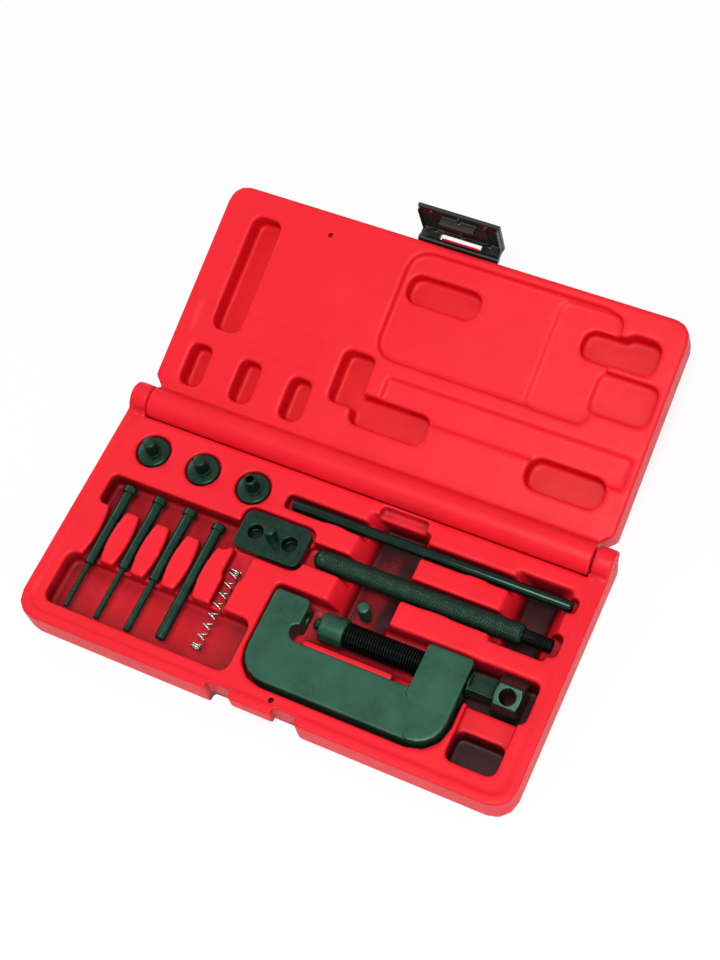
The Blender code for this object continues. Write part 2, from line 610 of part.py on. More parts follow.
def lid_recesses(grow):
    """Cutters in the lid's inner face, larger by grow all round, with the lid shut."""
    g = grow
    bottom = LID_FACE - ABOVE
    made = []

    def pocket(low, high, deep, radius):
        (x0, y0), (x1, y1) = low, high
        made.append(block("recess", (x0 - g, y0 - g, bottom),
                          (x1 + g, y1 + g, LID_FACE + deep + g), radius + g))

    deep = LID_POCKET_DEEP
    for i in range(ANVIL_COUNT):
        pocket((anvil_x(i) - 6.3 * MM, ANVIL_Y - 12 * MM),
               (anvil_x(i) + 6.3 * MM, ANVIL_Y + 12 * MM), deep, 4 * MM)
    # Pocket for the plate's stud, run together with a stiffening pocket
    pocket((PLATE_CENTRE_X - 6.5 * MM, PLATE_Y - 13 * MM),
           (PLATE_CENTRE_X + 11.5 * MM, PLATE_Y + 17 * MM), deep, 4 * MM)
    pocket((PLATE_CENTRE_X + 8.5 * MM, PLATE_Y + 7.8 * MM),
           (PLATE_CENTRE_X + 52 * MM, PLATE_Y + 25 * MM), deep, 5 * MM)
    # Stiffening pockets, where the two walls come near each other
    pocket((pin_x(0) + 0.5 * MM, PIN_FRONT_Y + 7 * MM),
           (pin_x(1) - 1 * MM, PIN_FRONT_Y + PIN_LENGTH), deep, 5 * MM)
    pocket((FRAME_LEFT - 4 * MM, FRAME_Y + 9.5 * MM),
           (FRAME_LEFT + 38 * MM, FRAME_Y + 26 * MM), deep, 6.5 * MM)
    pocket((BOSS_LEFT + 11 * MM, FRAME_Y + 9.5 * MM),
           (BOSS_LEFT + 40 * MM, FRAME_Y + 26 * MM), deep, 6.5 * MM)
    pocket((BOSS_LEFT + 32 * MM, FRAME_Y + 6.5 * MM),
           (BOSS_LEFT + 53 * MM, FRAME_Y + 26 * MM), deep, 6.5 * MM)
    pocket((BOSS_LEFT + 8.5 * MM, BAR_Y - 14 * MM),
           (BOSS_LEFT + 51.5 * MM, BAR_Y + 3.6 * MM), deep, 7 * MM)
    # Shallow relief over what stands above the tray
    frame_deep = FRAME_TOP - LID_FACE + 1.2 * MM
    pocket((FRAME_LEFT - 7.5 * MM, FRAME_Y - 2.6 * MM), (FRAME_RIGHT + 4.3 * MM, FRAME_REAR + 11 * MM),
           frame_deep, 11 * MM)
    pocket((BOSS_LEFT - 6.2 * MM, FRAME_Y - 1.2 * MM), (FRAME_RIGHT + 4.2 * MM, FRAME_REAR + 11.4 * MM),
           frame_deep + BOSS_EXTRA, 6 * MM)
    pocket((FRAME_RIGHT + 1 * MM, HEAD_RECESS_FRONT), (HEAD_RECESS_RIGHT, HEAD_RECESS_REAR),
           SCREW_Z + HEAD_RADIUS + 0.5 * MM - LID_FACE, 5 * MM)
    handle_end = HANDLE_START + HANDLE_LENGTH + HANDLE_STUB_LENGTH
    pocket((HANDLE_START - 3 * MM, HANDLE_Y - 5.2 * MM), (handle_end + 3.5 * MM, HANDLE_Y + 12.3 * MM),
           HANDLE_TOP + FIT - LID_FACE, 1.5 * MM)
    heads_y = PIN_FRONT_Y + PIN_LENGTH
    pocket((pin_x(0) - 10 * MM, heads_y - 13 * MM), (pin_x(PIN_COUNT - 1) + 10.5 * MM, heads_y + 6.5 * MM),
           TRAY - PIN_AXIS_DROP + PIN_HEAD_DIA / 2 + FIT - LID_FACE, 1.5 * MM)
    return made


def lid_outline(inset):
    """The lid's panel seen from above, smaller by inset, with its rear corners cut back."""
    half = LID_HALF - inset
    front = LID_FRONT + inset
    rear = LID_REAR - inset
    corner = LID_CORNER - min(inset, 4 * MM)
    chamfer = LID_SIDE_CHAMFER
    return rounded([(-half, front, corner), (half, front, corner), (half, rear - chamfer, 0),
                    (half - chamfer, rear, 0), (chamfer - half, rear, 0), (-half, rear - chamfer, 0)])


def latch_axis_shut():
    """(y, z) of the latch's pivot with the lid shut."""
    return LID_FRONT - LATCH_PIVOT_OUT, LID_FACE + LATCH_PIVOT_DEEP


def make_lid():
    top = LID_FACE + LID_HEIGHT
    lid = slab("lid", lid_outline(0), LID_FACE, top)
    neck_half = BARREL_HALF - 1.5 * MM
    neck_top = LID_FACE + 8 * MM
    join(lid, block("neck", (-neck_half, LID_REAR - 2 * MM, LID_FACE),
                    (neck_half, BARREL_Y - 2 * MM, neck_top)))
    join(lid, rod("barrel", (-BARREL_HALF, BARREL_Y, HINGE_Z), (BARREL_HALF, BARREL_Y, HINGE_Z),
                  BARREL_RADIUS))
    cut(lid, *lid_recesses(0))

    hollow = slab("hollow", lid_outline(CASE_WALL), LID_FACE + CASE_WALL, top - CASE_WALL)
    cut(hollow, *lid_recesses(CASE_WALL))
    w = CASE_WALL
    join(hollow, block("neck", (w - neck_half, LID_REAR - w - 2 * MM, LID_FACE + w),
                       (neck_half - w, BARREL_Y - 2 * MM, neck_top - w)))
    core = BARREL_HALF - BARREL_END
    join(hollow, rod("core", (-core, BARREL_Y, HINGE_Z), (core, BARREL_Y, HINGE_Z),
                     BARREL_RADIUS - w))
    cut(lid, hollow)

    # Lug that cradles the latch's bar
    y, z = latch_axis_shut()
    lug_half = LATCH_WINDOW / 2 - 0.4 * MM
    lug = block("lug", (-lug_half, y - 3.3 * MM, z - 0.5 * MM), (lug_half, LID_FRONT + 1 * MM, z + 4 * MM))
    join(lug, block("lug", (0.5 * MM - lug_half, y - 1.2 * MM, z + 3 * MM),
                    (lug_half - 0.5 * MM, LID_FRONT + 0.5 * MM, z + 11 * MM)))
    cut(lug, rod("cutter", (-LATCH_WINDOW, y, z), (LATCH_WINDOW, y, z), LATCH_BAR_RADIUS + FIT, 20))
    join(lid, lug)
    needle = (pin_x(2) + 9.4 * MM, PIN_FRONT_Y + 5.5 * MM)
    cut(lid, rod("cutter", (*needle, LID_FACE - 1 * MM), (*needle, LID_FACE + 3 * CASE_WALL),
                 NEEDLE_DIA / 2, 12))
    cut(lid, rod("cutter", (-RIGHT, BARREL_Y, HINGE_Z), (RIGHT, BARREL_Y, HINGE_Z),
                 HINGE_PIN_DIA / 2 + FIT, 16))
    return lid


def hinge_pin(side):
    outer = RIGHT - FIT
    radius = HINGE_PIN_DIA / 2
    profile = [(0, 0), (0, radius - 0.3 * MM), (0.3 * MM, radius), (HINGE_PIN_LENGTH - 0.3 * MM, radius),
               (HINGE_PIN_LENGTH, radius - 0.3 * MM), (HINGE_PIN_LENGTH, 0)]
    return turned("pin", profile, (side * outer, BARREL_Y, HINGE_Z), (-side, 0, 0), 16)


# ---------------------------------------------------------------- latch


def make_latch():
    """The latch shut: its bar lies in the lid's lug, its hook reaches under the catch."""
    y, z = latch_axis_shut()
    half = LATCH_WIDTH / 2
    window = LATCH_WINDOW / 2
    face_y = y - LATCH_REACH
    inner_y = face_y + LATCH_SKIN
    low = z - LATCH_DROP
    top = z + LATCH_BAR_RADIUS
    latch = block("latch", (-half, face_y, low), (half, inner_y, top - 0.4 * MM))
    nest = 0.2 * MM  # each piece of the moulding ends a little inside the next
    join(latch, block("bridge", (nest - half, face_y + nest, z - 1.2 * MM),
                      (half - nest, y - LATCH_BRIDGE_OUT, top - 0.7 * MM)))
    for side in (-1, 1):
        x0, x1 = sorted((side * window, side * (half - 2 * nest)))
        join(latch, block("arm", (x0, face_y + 2 * nest, z - 1.5 * MM), (x1, y + 0.3 * MM, z + 1.3 * MM)))
        x0, x1 = sorted((side * (half - LATCH_RIB), side * (half - 3 * nest)))
        join(latch, block("flange", (x0, face_y + 1 * MM, low + 1 * MM),
                          (x1, inner_y + 2.4 * MM, z - 0.3 * MM)))
    for x in (-half * 2 / 3, 0, half * 2 / 3):
        join(latch, block("rib", (x - LATCH_RIB / 2, face_y + 1 * MM, low + 1.5 * MM),
                          (x + LATCH_RIB / 2, inner_y + 1.6 * MM, z - 0.9 * MM)))
    join(latch, rod("bar", (nest / 2 - half, y, z), (half - nest / 2, y, z), LATCH_BAR_RADIUS, 20))
    hook_top = CATCH_FLOOR - FIT
    join(latch, block("hook", (2 * MM - window, face_y + 1.2 * MM, hook_top - 2.6 * MM),
                      (window - 2 * MM, LATCH_HOOK_UNDER, hook_top)))
    return latch


# ---------------------------------------------------------------- press frame


def make_frame():
    """C-shaped frame: web along the front, a plain arm on the left, a thicker bored one on the right."""
    x0, x1, y0 = FRAME_LEFT, FRAME_RIGHT, FRAME_Y
    corner, inside = FRAME_OUTER_CORNER, THROAT_CORNER
    boss_y = FRAME_REAR + FRAME_BOSS_RISE
    arm_face = x0 + FRAME_ARM
    outline = rounded([(x0, y0, corner), (x1, y0, corner), (x1, boss_y, 2 * MM),
                       (BOSS_LEFT, boss_y, 2 * MM), (BOSS_LEFT, THROAT_Y, 2 * MM),
                       (arm_face, THROAT_Y, inside), (arm_face, SCREW_Y - SEAT_START, 0.8 * MM),
                       (arm_face + SEAT_THICK, SCREW_Y - SEAT_START + 1.5 * MM, 1 * MM),
                       (arm_face + SEAT_THICK, FRAME_REAR, 3 * MM), (x0, FRAME_REAR, 2.5 * MM)], 5)
    frame = slab("frame", outline, FRAME_BOTTOM, FRAME_TOP)
    boss = rounded([(BOSS_LEFT, THROAT_Y - 4 * MM, 3 * MM), (x1 - corner - 1 * MM, y0, 0),
                    (x1, y0, corner), (x1, boss_y, 2 * MM), (BOSS_LEFT, boss_y, 2 * MM)], 5)
    join(frame, slab("boss", boss, FRAME_BOTTOM - BOSS_EXTRA, FRAME_TOP + BOSS_EXTRA))
    cut(frame, rod("cutter", (arm_face - 8 * MM, SCREW_Y, SCREW_Z),
                   (arm_face + SEAT_THICK + 1 * MM, SCREW_Y, SCREW_Z), SEAT_BORE_DIA / 2, 20))
    cut(frame, rod("cutter", (BOSS_LEFT - 1 * MM, SCREW_Y, SCREW_Z),
                   (x1 + 1 * MM, SCREW_Y, SCREW_Z), SCREW_DIA / 2 + FIT))
    return frame


def make_screw():
    """Threaded shank, square neck and hexagon head with a cross hole for the tommy bar."""
    radius = SCREW_DIA / 2
    start = HOLDER_RIGHT - HOLDER_SOCKET_DEEP + FIT
    tenon = HOLDER_SOCKET_DIA / 2 - FIT
    shoulder = HOLDER_SOCKET_DEEP
    length = NECK_START + 1 * MM - start
    profile = [(0, 0), (0, tenon), (shoulder, tenon), (shoulder, radius - 1 * MM),
               (shoulder + 1 * MM, radius), (length - 1 * MM, radius), (length, radius - 1 * MM),
               (length, 0)]
    screw = turned("screw", profile, (start, SCREW_Y, SCREW_Z), (1, 0, 0))
    neck = SCREW_NECK_SIDE / math.sqrt(2)
    join(screw, rod("neck", (NECK_START - 1 * MM, SCREW_Y, SCREW_Z),
                    (HEAD_START + 1 * MM, SCREW_Y, SCREW_Z), neck, 4, math.pi / 4))
    head = turned("head", [(0, 0), (0, HEAD_RADIUS - 1.6 * MM), (1.2 * MM, HEAD_RADIUS),
                           (SCREW_HEAD_LENGTH - 1.2 * MM, HEAD_RADIUS),
                           (SCREW_HEAD_LENGTH, HEAD_RADIUS - 1.6 * MM), (SCREW_HEAD_LENGTH, 0)],
                  (HEAD_START, SCREW_Y, SCREW_Z), (1, 0, 0))
    hexagon = rod("hexagon", (HEAD_START - 1 * MM, SCREW_Y, SCREW_Z),
                  (HEAD_END + 1 * MM, SCREW_Y, SCREW_Z), HEAD_RADIUS, 6)
    hexagon.data.transform(Matrix.Translation((0, SCREW_Y, SCREW_Z))
                           @ Matrix.Rotation(hexagon_turn(hexagon), 4, "X")
                           @ Matrix.Translation((0, -SCREW_Y, -SCREW_Z)))
    combine(head, hexagon, "INTERSECT")
    join(screw, head)
    middle = (HEAD_START + HEAD_END) / 2
    reach = Vector((0, -math.sin(SCREW_HEAD_TURN), math.cos(SCREW_HEAD_TURN))) * 2 * HEAD_RADIUS
    centre = Vector((middle, SCREW_Y, SCREW_Z))
    cut(screw, rod("cutter", centre - reach, centre + reach, SCREW_CROSS_DIA / 2, 24))
    return screw


def hexagon_turn(hexagon):
    """The turn about X that puts a flat of the hexagon square to the cross hole."""
    normals = [face.normal for face in hexagon.data.polygons if abs(face.normal.x) < 0.5]
    up = max(normals, key=lambda normal: normal.z)
    return SCREW_HEAD_TURN - math.atan2(-up.y, up.z)


def make_holder():
    """Pin holder: a short barrel, bored at one end for the screw and at the other for its pin."""
    radius = HOLDER_DIA / 2
    edge = 0.8 * MM
    profile = [(0, 0), (0, radius - edge), (edge, radius), (HOLDER_LENGTH - edge, radius),
               (HOLDER_LENGTH, radius - edge), (HOLDER_LENGTH, 0)]
    holder = turned("holder", profile, (HOLDER_LEFT, SCREW_Y, SCREW_Z), (1, 0, 0))
    cut(holder, rod("cutter", (HOLDER_RIGHT - HOLDER_SOCKET_DEEP, SCREW_Y, SCREW_Z),
                    (HOLDER_RIGHT + 1 * MM, SCREW_Y, SCREW_Z), HOLDER_SOCKET_DIA / 2))
    cut(holder, rod("cutter", (HOLDER_LEFT - 1 * MM, SCREW_Y, SCREW_Z),
                    (HOLDER_LEFT + NUB_IN, SCREW_Y, SCREW_Z), NUB_DIA / 2 + FIT, 20))
    return holder


def make_nub():
    """The pin that the holder pushes with."""
    radius = NUB_DIA / 2
    length = NUB_OUT + NUB_IN - FIT
    profile = [(0, 0), (0, radius - 0.8 * MM), (0.8 * MM, radius), (length - 0.4 * MM, radius),
               (length, radius - 0.4 * MM), (length, 0)]
    return turned("nub", profile, (HOLDER_LEFT - NUB_OUT, SCREW_Y, SCREW_Z), (1, 0, 0), 20)


# ---------------------------------------------------------------- loose tools


def make_push_pin(i):
    """A push pin along Y: thin tip to the front, flat head to the rear. The last is plain."""
    shank, head = PIN_SHANK_DIA / 2, PIN_HEAD_DIA / 2
    edge = 0.5 * MM
    plain = i >= len(PIN_TIP_DIAS)
    inset = LAST_PIN_INSET if plain else 0.0
    length = PIN_LENGTH - 2 * inset
    if plain:
        profile = [(0, 0)]
        profile += [(shank * (1 - math.cos(a)) * 0.6, shank * math.sin(a))
                    for a in (math.radians(30), math.radians(60), math.radians(90))]
    else:
        tip, tip_length = PIN_TIP_DIAS[i] / 2, PIN_TIP_LENGTHS[i]
        profile = [(0, 0), (0, tip - 0.3 * MM), (0.3 * MM, tip), (tip_length, tip),
                   (tip_length, shank - edge), (tip_length + edge, shank)]
    head_start = length - PIN_HEAD_LENGTH
    profile += [(head_start, shank), (head_start, head - edge / 2), (head_start + edge / 2, head),
                (length - edge, head), (length, head - edge), (length, 0)]
    start = (pin_x(i), PIN_FRONT_Y + inset, TRAY - PIN_AXIS_DROP)
    return turned("pin", profile, start, (0, 1, 0), 20)


def make_spring():
    """Compression spring along Y, its end coils closed."""
    turns = SPRING_OPEN_TURNS + 2 * SPRING_CLOSED_TURNS
    closed_length = SPRING_CLOSED_TURNS * (SPRING_WIRE + 0.25 * MM)
    open_length = SPRING_LENGTH - SPRING_WIRE - 2 * closed_length
    per_turn = 12
    radius = (SPRING_DIA - SPRING_WIRE) / 2
    curve = bpy.data.curves.new("spring", "CURVE")
    curve.dimensions = "3D"
    curve.bevel_depth = SPRING_WIRE / 2
    curve.bevel_resolution = 1
    curve.use_fill_caps = True
    count = int(turns * per_turn) + 1
    spline = curve.splines.new("POLY")
    spline.points.add(count - 1)
    for i, point in enumerate(spline.points):
        turn = i / per_turn
        if turn < SPRING_CLOSED_TURNS:
            along = closed_length * turn / SPRING_CLOSED_TURNS
        elif turn > turns - SPRING_CLOSED_TURNS:
            along = closed_length + open_length + closed_length * (
                turn - turns + SPRING_CLOSED_TURNS) / SPRING_CLOSED_TURNS
        else:
            along = closed_length + open_length * (turn - SPRING_CLOSED_TURNS) / SPRING_OPEN_TURNS
        angle = 2 * math.pi * turn
        point.co = (radius * math.cos(angle), along + SPRING_WIRE / 2, radius * math.sin(angle), 1)
    spring = object_of("spring", curve)
    spring.location = (LEFT + SPRING_X, SPRING_FRONT_Y, TRAY - PIN_AXIS_DROP)
    bpy.context.view_layer.update()
    return bake(spring)


def make_anvil(i):
    """Round anvil standing flange down. The last one's post is bored."""
    flange, post = ANVIL_FLANGE_DIA / 2, ANVIL_POST_DIA / 2
    thick, height = ANVIL_FLANGE_THICK, ANVIL_FLANGE_THICK + ANVIL_POST_HEIGHT
    edge = 0.6 * MM
    profile = [(0, 0), (0, flange - edge), (edge, flange), (thick - edge, flange),
               (thick, flange - edge), (thick, post), (height - edge, post)]
    if i == ANVIL_COUNT - 1:
        bore = ANVIL_BORE_DIA / 2
        floor = thick + 1 * MM
        profile += [(height, post - edge), (height, bore), (floor, bore), (floor, 0)]
    else:
        profile += [(height, post - edge), (height, 0)]
    foot = TRAY - FLUSH_DROP - thick
    return turned("anvil", profile, (anvil_x(i), ANVIL_Y, foot), (0, 0, 1))


def make_plate():
    top = TRAY - FLUSH_DROP
    half, wide = PLATE_LENGTH / 2, PLATE_WIDTH / 2
    x, y = PLATE_CENTRE_X, PLATE_Y
    plate = block("plate", (x - half, y - wide, top - PLATE_THICK), (x + half, y + wide, top),
                  PLATE_CORNER, 5)
    for side in (-1, 1):
        hole = x + side * PLATE_HOLE_OFFSET
        cut(plate, rod("cutter", (hole, y, top - PLATE_THICK + PLATE_HOLE_FLOOR),
                       (hole, y, top + 1 * MM), PLATE_HOLE_DIA / 2, 24))
    cut(plate, rod("cutter", (x, y, top - PLATE_THICK + 1.5 * MM), (x, y, top + 1 * MM),
                   STUD_SPIGOT_DIA / 2 + FIT, 20))
    return plate


def make_stud():
    """Stud whose spigot sits in the plate and whose shoulder rests on it."""
    top = TRAY - FLUSH_DROP
    spigot, radius = STUD_SPIGOT_DIA / 2, STUD_DIA / 2
    deep = PLATE_THICK - 1.5 * MM - FIT
    shoulder = deep + FIT
    profile = [(0, 0), (0, spigot), (shoulder, spigot), (shoulder, radius),
               (deep + STUD_HEIGHT - 0.6 * MM, radius), (deep + STUD_HEIGHT, radius - 0.6 * MM),
               (deep + STUD_HEIGHT, 0)]
    return turned("stud", profile, (PLATE_CENTRE_X, PLATE_Y, top - deep), (0, 0, 1), 24)


def make_tommy_bar():
    radius = BAR_DIA / 2
    edge = 1 * MM
    profile = [(0, 0), (0, radius - edge), (edge, radius), (BAR_LENGTH - edge, radius),
               (BAR_LENGTH, radius - edge), (BAR_LENGTH, 0)]
    return turned("bar", profile, (BAR_START, BAR_Y, TRAY - BAR_AXIS_DROP), (1, 0, 0), 24)


def make_handle():
    """Knurled grip with a domed end, and a threaded stub at the other."""
    radius, stub = HANDLE_DIA / 2, HANDLE_STUB_DIA / 2
    profile = [(0, 0)]
    for i in range(1, 5):
        angle = math.radians(90 * i / 4)
        profile.append((radius * (1 - math.cos(angle)), radius * math.sin(angle)))
    length = HANDLE_LENGTH
    end = length + HANDLE_STUB_LENGTH
    edge = 1 * MM
    profile += [(length - edge, radius), (length, radius - edge), (length, stub),
                (end - edge, stub), (end, stub - edge), (end, 0)]
    return turned("handle", profile, (HANDLE_START, HANDLE_Y, TRAY - HANDLE_AXIS_DROP), (1, 0, 0))


def make_spare_pin():
    radius, tip = SPARE_DIA / 2, SPARE_TIP_DIA / 2
    foot = WELL_FLOOR + FIT
    length = TRAY + 1.2 * MM - foot
    profile = [(0, 0), (0, tip), (5 * MM, tip), (5 * MM, radius - 0.5 * MM), (5.5 * MM, radius),
               (length - 0.6 * MM, radius), (length, radius - 0.6 * MM), (length, 0)]
    return turned("spare", profile, (SPARE_PIN_X, SPARE_Y, foot), (0, 0, 1), 20)


# ---------------------------------------------------------------- assembly


def empty(name, place, collection):
    made = bpy.data.objects.new(name, None)
    made.empty_display_size = 10 * MM
    made.location = place
    collection.objects.link(made)
    return made


def carry(parent, *children):
    """Hangs pieces on a parent empty without moving them."""
    bpy.context.view_layer.update()
    for child in children:
        child.parent = parent
        child.matrix_parent_inverse = parent.matrix_world.inverted()


def build():
    clear_scene()
    kit = bpy.data.collections.new("chain_tool_kit")
    bpy.context.scene.collection.children.link(kit)
    red = material("red_polyethylene", RED, 0.42, 0.0)
    black = material("blackened_steel", BLACK_STEEL, 0.38, 0.9)
    grey = material("phosphated_steel", GREY_STEEL, 0.45, 0.9)
    plastic = material("black_polypropylene", BLACK_PLASTIC, 0.35, 0.0)
    bright = material("bright_steel", BRIGHT_STEEL, 0.25, 1.0)

    finish(make_base(), "case_base", red, kit)
    lid = finish(make_lid(), "case_lid", red, kit)
    for side, name in ((-1, "hinge_pin_left"), (1, "hinge_pin_right")):
        finish(hinge_pin(side), name, bright, kit)
    latch = finish(make_latch(), "latch", plastic, kit)

    frame = finish(make_frame(), "press_frame", grey, kit)
    screw = finish(make_screw(), "pressure_screw", black, kit)
    holder = finish(make_holder(), "pin_holder", grey, kit)
    nub = finish(make_nub(), "holder_pin", black, kit)

    for i in range(PIN_COUNT):
        finish(make_push_pin(i), f"push_pin_{i + 1}", black, kit)
    for i in range(ANVIL_COUNT):
        finish(make_anvil(i), f"round_anvil_{i + 1}", black, kit)
    plate = finish(make_plate(), "plate_anvil", black, kit)
    stud = finish(make_stud(), "plate_anvil_stud", black, kit)
    finish(make_spring(), "spring", bright, kit)
    finish(make_tommy_bar(), "tommy_bar", black, kit)
    finish(make_handle(), "knurled_handle", black, kit)
    finish(make_spare_pin(), "spare_pin", grey, kit)

    # Moving pieces hang on empties that stand on their joints' axes
    screw_axis = empty("press_screw_axis", (HOLDER_LEFT, SCREW_Y, SCREW_Z), kit)
    carry(screw_axis, screw, holder, nub)
    carry(empty("plate_place", (PLATE_CENTRE_X, PLATE_Y, TRAY), kit), plate, stud)
    frame_place = empty("frame_place", (FRAME_LEFT, FRAME_Y, FRAME_BOTTOM), kit)
    carry(frame_place, frame, screw_axis)
    latch_axis = empty("latch_axis", (0, *latch_axis_shut()), kit)
    lid_axis = empty("lid_axis", (0, BARREL_Y, HINGE_Z), kit)
    carry(latch_axis, latch)
    carry(lid_axis, lid, latch_axis)
    bpy.context.view_layer.update()
    latch_axis.rotation_euler.x = -LATCH_LEAN
    lid_axis.rotation_euler.x = -LID_OPEN

    # The origin is the middle of the case's underside
    for obj in kit.objects:
        if obj.parent is None:
            obj.location.y -= CASE_DEPTH / 2
    bpy.context.view_layer.update()


build()
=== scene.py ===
"""A chain breaking and riveting kit in its red moulded case, on a white studio table."""

import json
import math

import bpy
from mathutils import Matrix, Vector


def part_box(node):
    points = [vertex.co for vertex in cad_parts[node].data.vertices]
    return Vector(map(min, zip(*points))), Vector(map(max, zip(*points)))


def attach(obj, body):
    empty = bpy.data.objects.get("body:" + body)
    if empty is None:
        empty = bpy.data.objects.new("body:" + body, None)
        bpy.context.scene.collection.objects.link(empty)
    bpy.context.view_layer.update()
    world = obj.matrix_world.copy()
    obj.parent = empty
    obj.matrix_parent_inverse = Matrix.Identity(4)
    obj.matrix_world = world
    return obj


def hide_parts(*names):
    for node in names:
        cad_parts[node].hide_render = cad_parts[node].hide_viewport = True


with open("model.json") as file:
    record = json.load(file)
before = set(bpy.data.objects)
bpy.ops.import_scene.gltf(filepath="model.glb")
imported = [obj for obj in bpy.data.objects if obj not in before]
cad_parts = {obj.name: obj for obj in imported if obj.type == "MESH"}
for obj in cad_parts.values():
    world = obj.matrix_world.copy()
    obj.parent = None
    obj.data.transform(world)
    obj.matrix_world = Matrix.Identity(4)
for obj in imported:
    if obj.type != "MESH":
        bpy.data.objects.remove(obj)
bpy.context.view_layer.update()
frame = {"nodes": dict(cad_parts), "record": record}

MM = 0.001
JOINTS = {joint["name"]: joint for joint in frame["record"]["behaviour"]["joints"]}

# Camera
CAMERA_PLACE = Vector((261.7, -265.7, 806.0)) * MM
CAMERA_RIGHT = Vector((0.8993, 0.4205, -0.1205))
CAMERA_UP = Vector((-0.3240, 0.8254, 0.4625))
CAMERA_LENS = 63.6
CAMERA_SENSOR = 36

# Studio
TABLE_SIZE = 24  # metres, so that its edge is far behind the object from every side
TABLE_DROP = 0.2 * MM  # how far the table lies below the case, so that their faces stay apart
FLOOR_WHITE = 0.85  # share of plain white in the table as it is seen; the rest keeps the shadow
WORLD_LEVEL = 0.26  # the world's light on the object

# Blow-moulded case: how finely its skin is made and how far its edges round over
CASE_VOXEL = 0.8 * MM
CASE_PASSES = 12
MOST_FACES = 180000  # triangles left on a skin

RECESS_REACH = 24 * MM  # how far round itself the case's plastic feels a recess's walls, for the shade painted into its recesses
GROOVE_REACH = 5 * MM  # the same for steel, for the shade painted into its bores and grooves
WELL_FLOOR = 3.5 * MM  # above the table, below which the painted shade in the wells is at its darkest
WELL_SHADE_TOP = 8.5 * MM  # above the table, where the painted shade in the wells has faded out
REAR_WALL_HALF = 128 * MM  # the part of the base's rear wall that moves, each way from the middle
REAR_WALL_BAND = 0.9 * MM
REAR_WALL_SHIFT = 0.4 * MM  # towards the hinge barrel, to close the gap that softening opens

# Sizes that only the looks have
NEEDLE_HOLE = 1.5 * MM  # radius of the blow needle's hole in each half of the case
NEEDLE_RIM = NEEDLE_HOLE + 0.2 * MM  # radius inside which the CAD's hole is cut away
BASE_NEEDLE_X = 9.2 * MM
BASE_NEEDLE_Y = 7.6 * MM  # from the base's front
LID_NEEDLE = (-69.6 * MM, -45.45 * MM)  # with the lid shut
HINGE_HOLE_RIM = 1.9 * MM  # radius inside which the barrel's bore is cut away
BOSS_ARM = 25 * MM  # how far the press's thicker arm reaches from its end
BOSS_WEB = 27 * MM  # height of the web beside it, from the press's front
BOSS_SLANT = 0.3  # how far the step between them leans, for each length up the web
BOSS_FADE = 8 * MM  # how far the step is faded, to each side
SCREW_PITCH = 1.5 * MM
SCREW_THREAD_DEPTH = 0.75 * MM
SCREW_RADIUS = 7 * MM
SCREW_TENON = 4.2 * MM  # radius
SCREW_TENON_LENGTH = 5 * MM  # as far as the thread starts
SCREW_NECK_LENGTH = 28.4 * MM  # square neck and hexagon head together
STUB_PITCH = 1.25 * MM
STUB_THREAD_DEPTH = 0.55 * MM
STUB_LENGTH = 15.5 * MM
STUB_RADIUS = 4 * MM
KNURL_PITCH = 1.7 * MM  # as coarse as it needs to be to show
KNURL_DEPTH = 0.38 * MM
SPRING_TURNS = 10
SPRING_CLOSED = 1.5  # turns at each end
SPRING_WIRE = 1.0 * MM
SPRING_DIAMETER = 6.6 * MM  # the CAD's is 7.0 mm and touches the shut lid; this one clears it
SPRING_STEPS = 24  # points in a turn
CLOSED_PITCH = 1.12 * SPRING_WIRE
PIN_HEAD_LENGTH = 4.3 * MM
PIN_SHANK = 3.0 * MM  # radius
PIN_TIPS = ((1.4 * MM, 25.9 * MM), (1.6 * MM, 29.9 * MM), (2.0 * MM, 29.9 * MM))
ANVIL_POST = 3.5 * MM  # radius
ANVIL_THICK = 4.0 * MM
ANVIL_BORE = 2.0 * MM  # radius
SPARE_TIP = 1.6 * MM  # radius
STUD_SPIGOT = 2.3 * MM  # radius
STUD_SHOULDER = 4.5 * MM  # above the stud's foot


# ---------------------------------------------------------------- making pieces


def deselect():
    if bpy.context.object and bpy.context.object.mode != "OBJECT":
        bpy.ops.object.mode_set(mode="OBJECT")
    bpy.ops.object.select_all(action="DESELECT")


def pick(obj):
    deselect()
    obj.select_set(True)
    bpy.context.view_layer.objects.active = obj


def select_faces(obj, test):
    """Selects, in edit mode, the faces whose every corner passes the test."""
    bpy.ops.object.mode_set(mode="EDIT")
    bpy.ops.mesh.select_mode(type="FACE")
    bpy.ops.mesh.select_all(action="DESELECT")
    bpy.ops.object.mode_set(mode="OBJECT")
    places = [vert.co for vert in obj.data.vertices]
    for face in obj.data.polygons:
        face.select = all(test(places[i]) for i in face.vertices)
    bpy.ops.object.mode_set(mode="EDIT")


def close_openings():
    bpy.ops.mesh.select_mode(type="EDGE")
    bpy.ops.mesh.select_all(action="DESELECT")
    bpy.ops.mesh.select_non_manifold()
    bpy.ops.mesh.fill()


def apply(obj, kind, **settings):
    """Adds a modifier with its settings and applies it."""
    pick(obj)
    modifier = obj.modifiers.new(kind.title(), kind)
    for name, value in settings.items():
        setattr(modifier, name, value)
    bpy.ops.object.modifier_apply(modifier=modifier.name)


def smooth(obj, degrees=40):
    pick(obj)
    bpy.ops.object.shade_smooth_by_angle(angle=math.radians(degrees))


def copy_of(node, name):
    """A merged copy of a CAD node, to be worked on as a piece of its own."""
    source = frame["nodes"][node]
    piece = source.copy()
    piece.data = source.data.copy()
    piece.name = name
    piece.parent = None
    piece.matrix_world = Matrix.Identity(4)
    bpy.context.scene.collection.objects.link(piece)
    pick(piece)
    bpy.ops.object.mode_set(mode="EDIT")
    bpy.ops.mesh.select_all(action="SELECT")
    bpy.ops.mesh.remove_doubles(threshold=0.001 * MM)
    bpy.ops.object.mode_set(mode="OBJECT")
    return piece


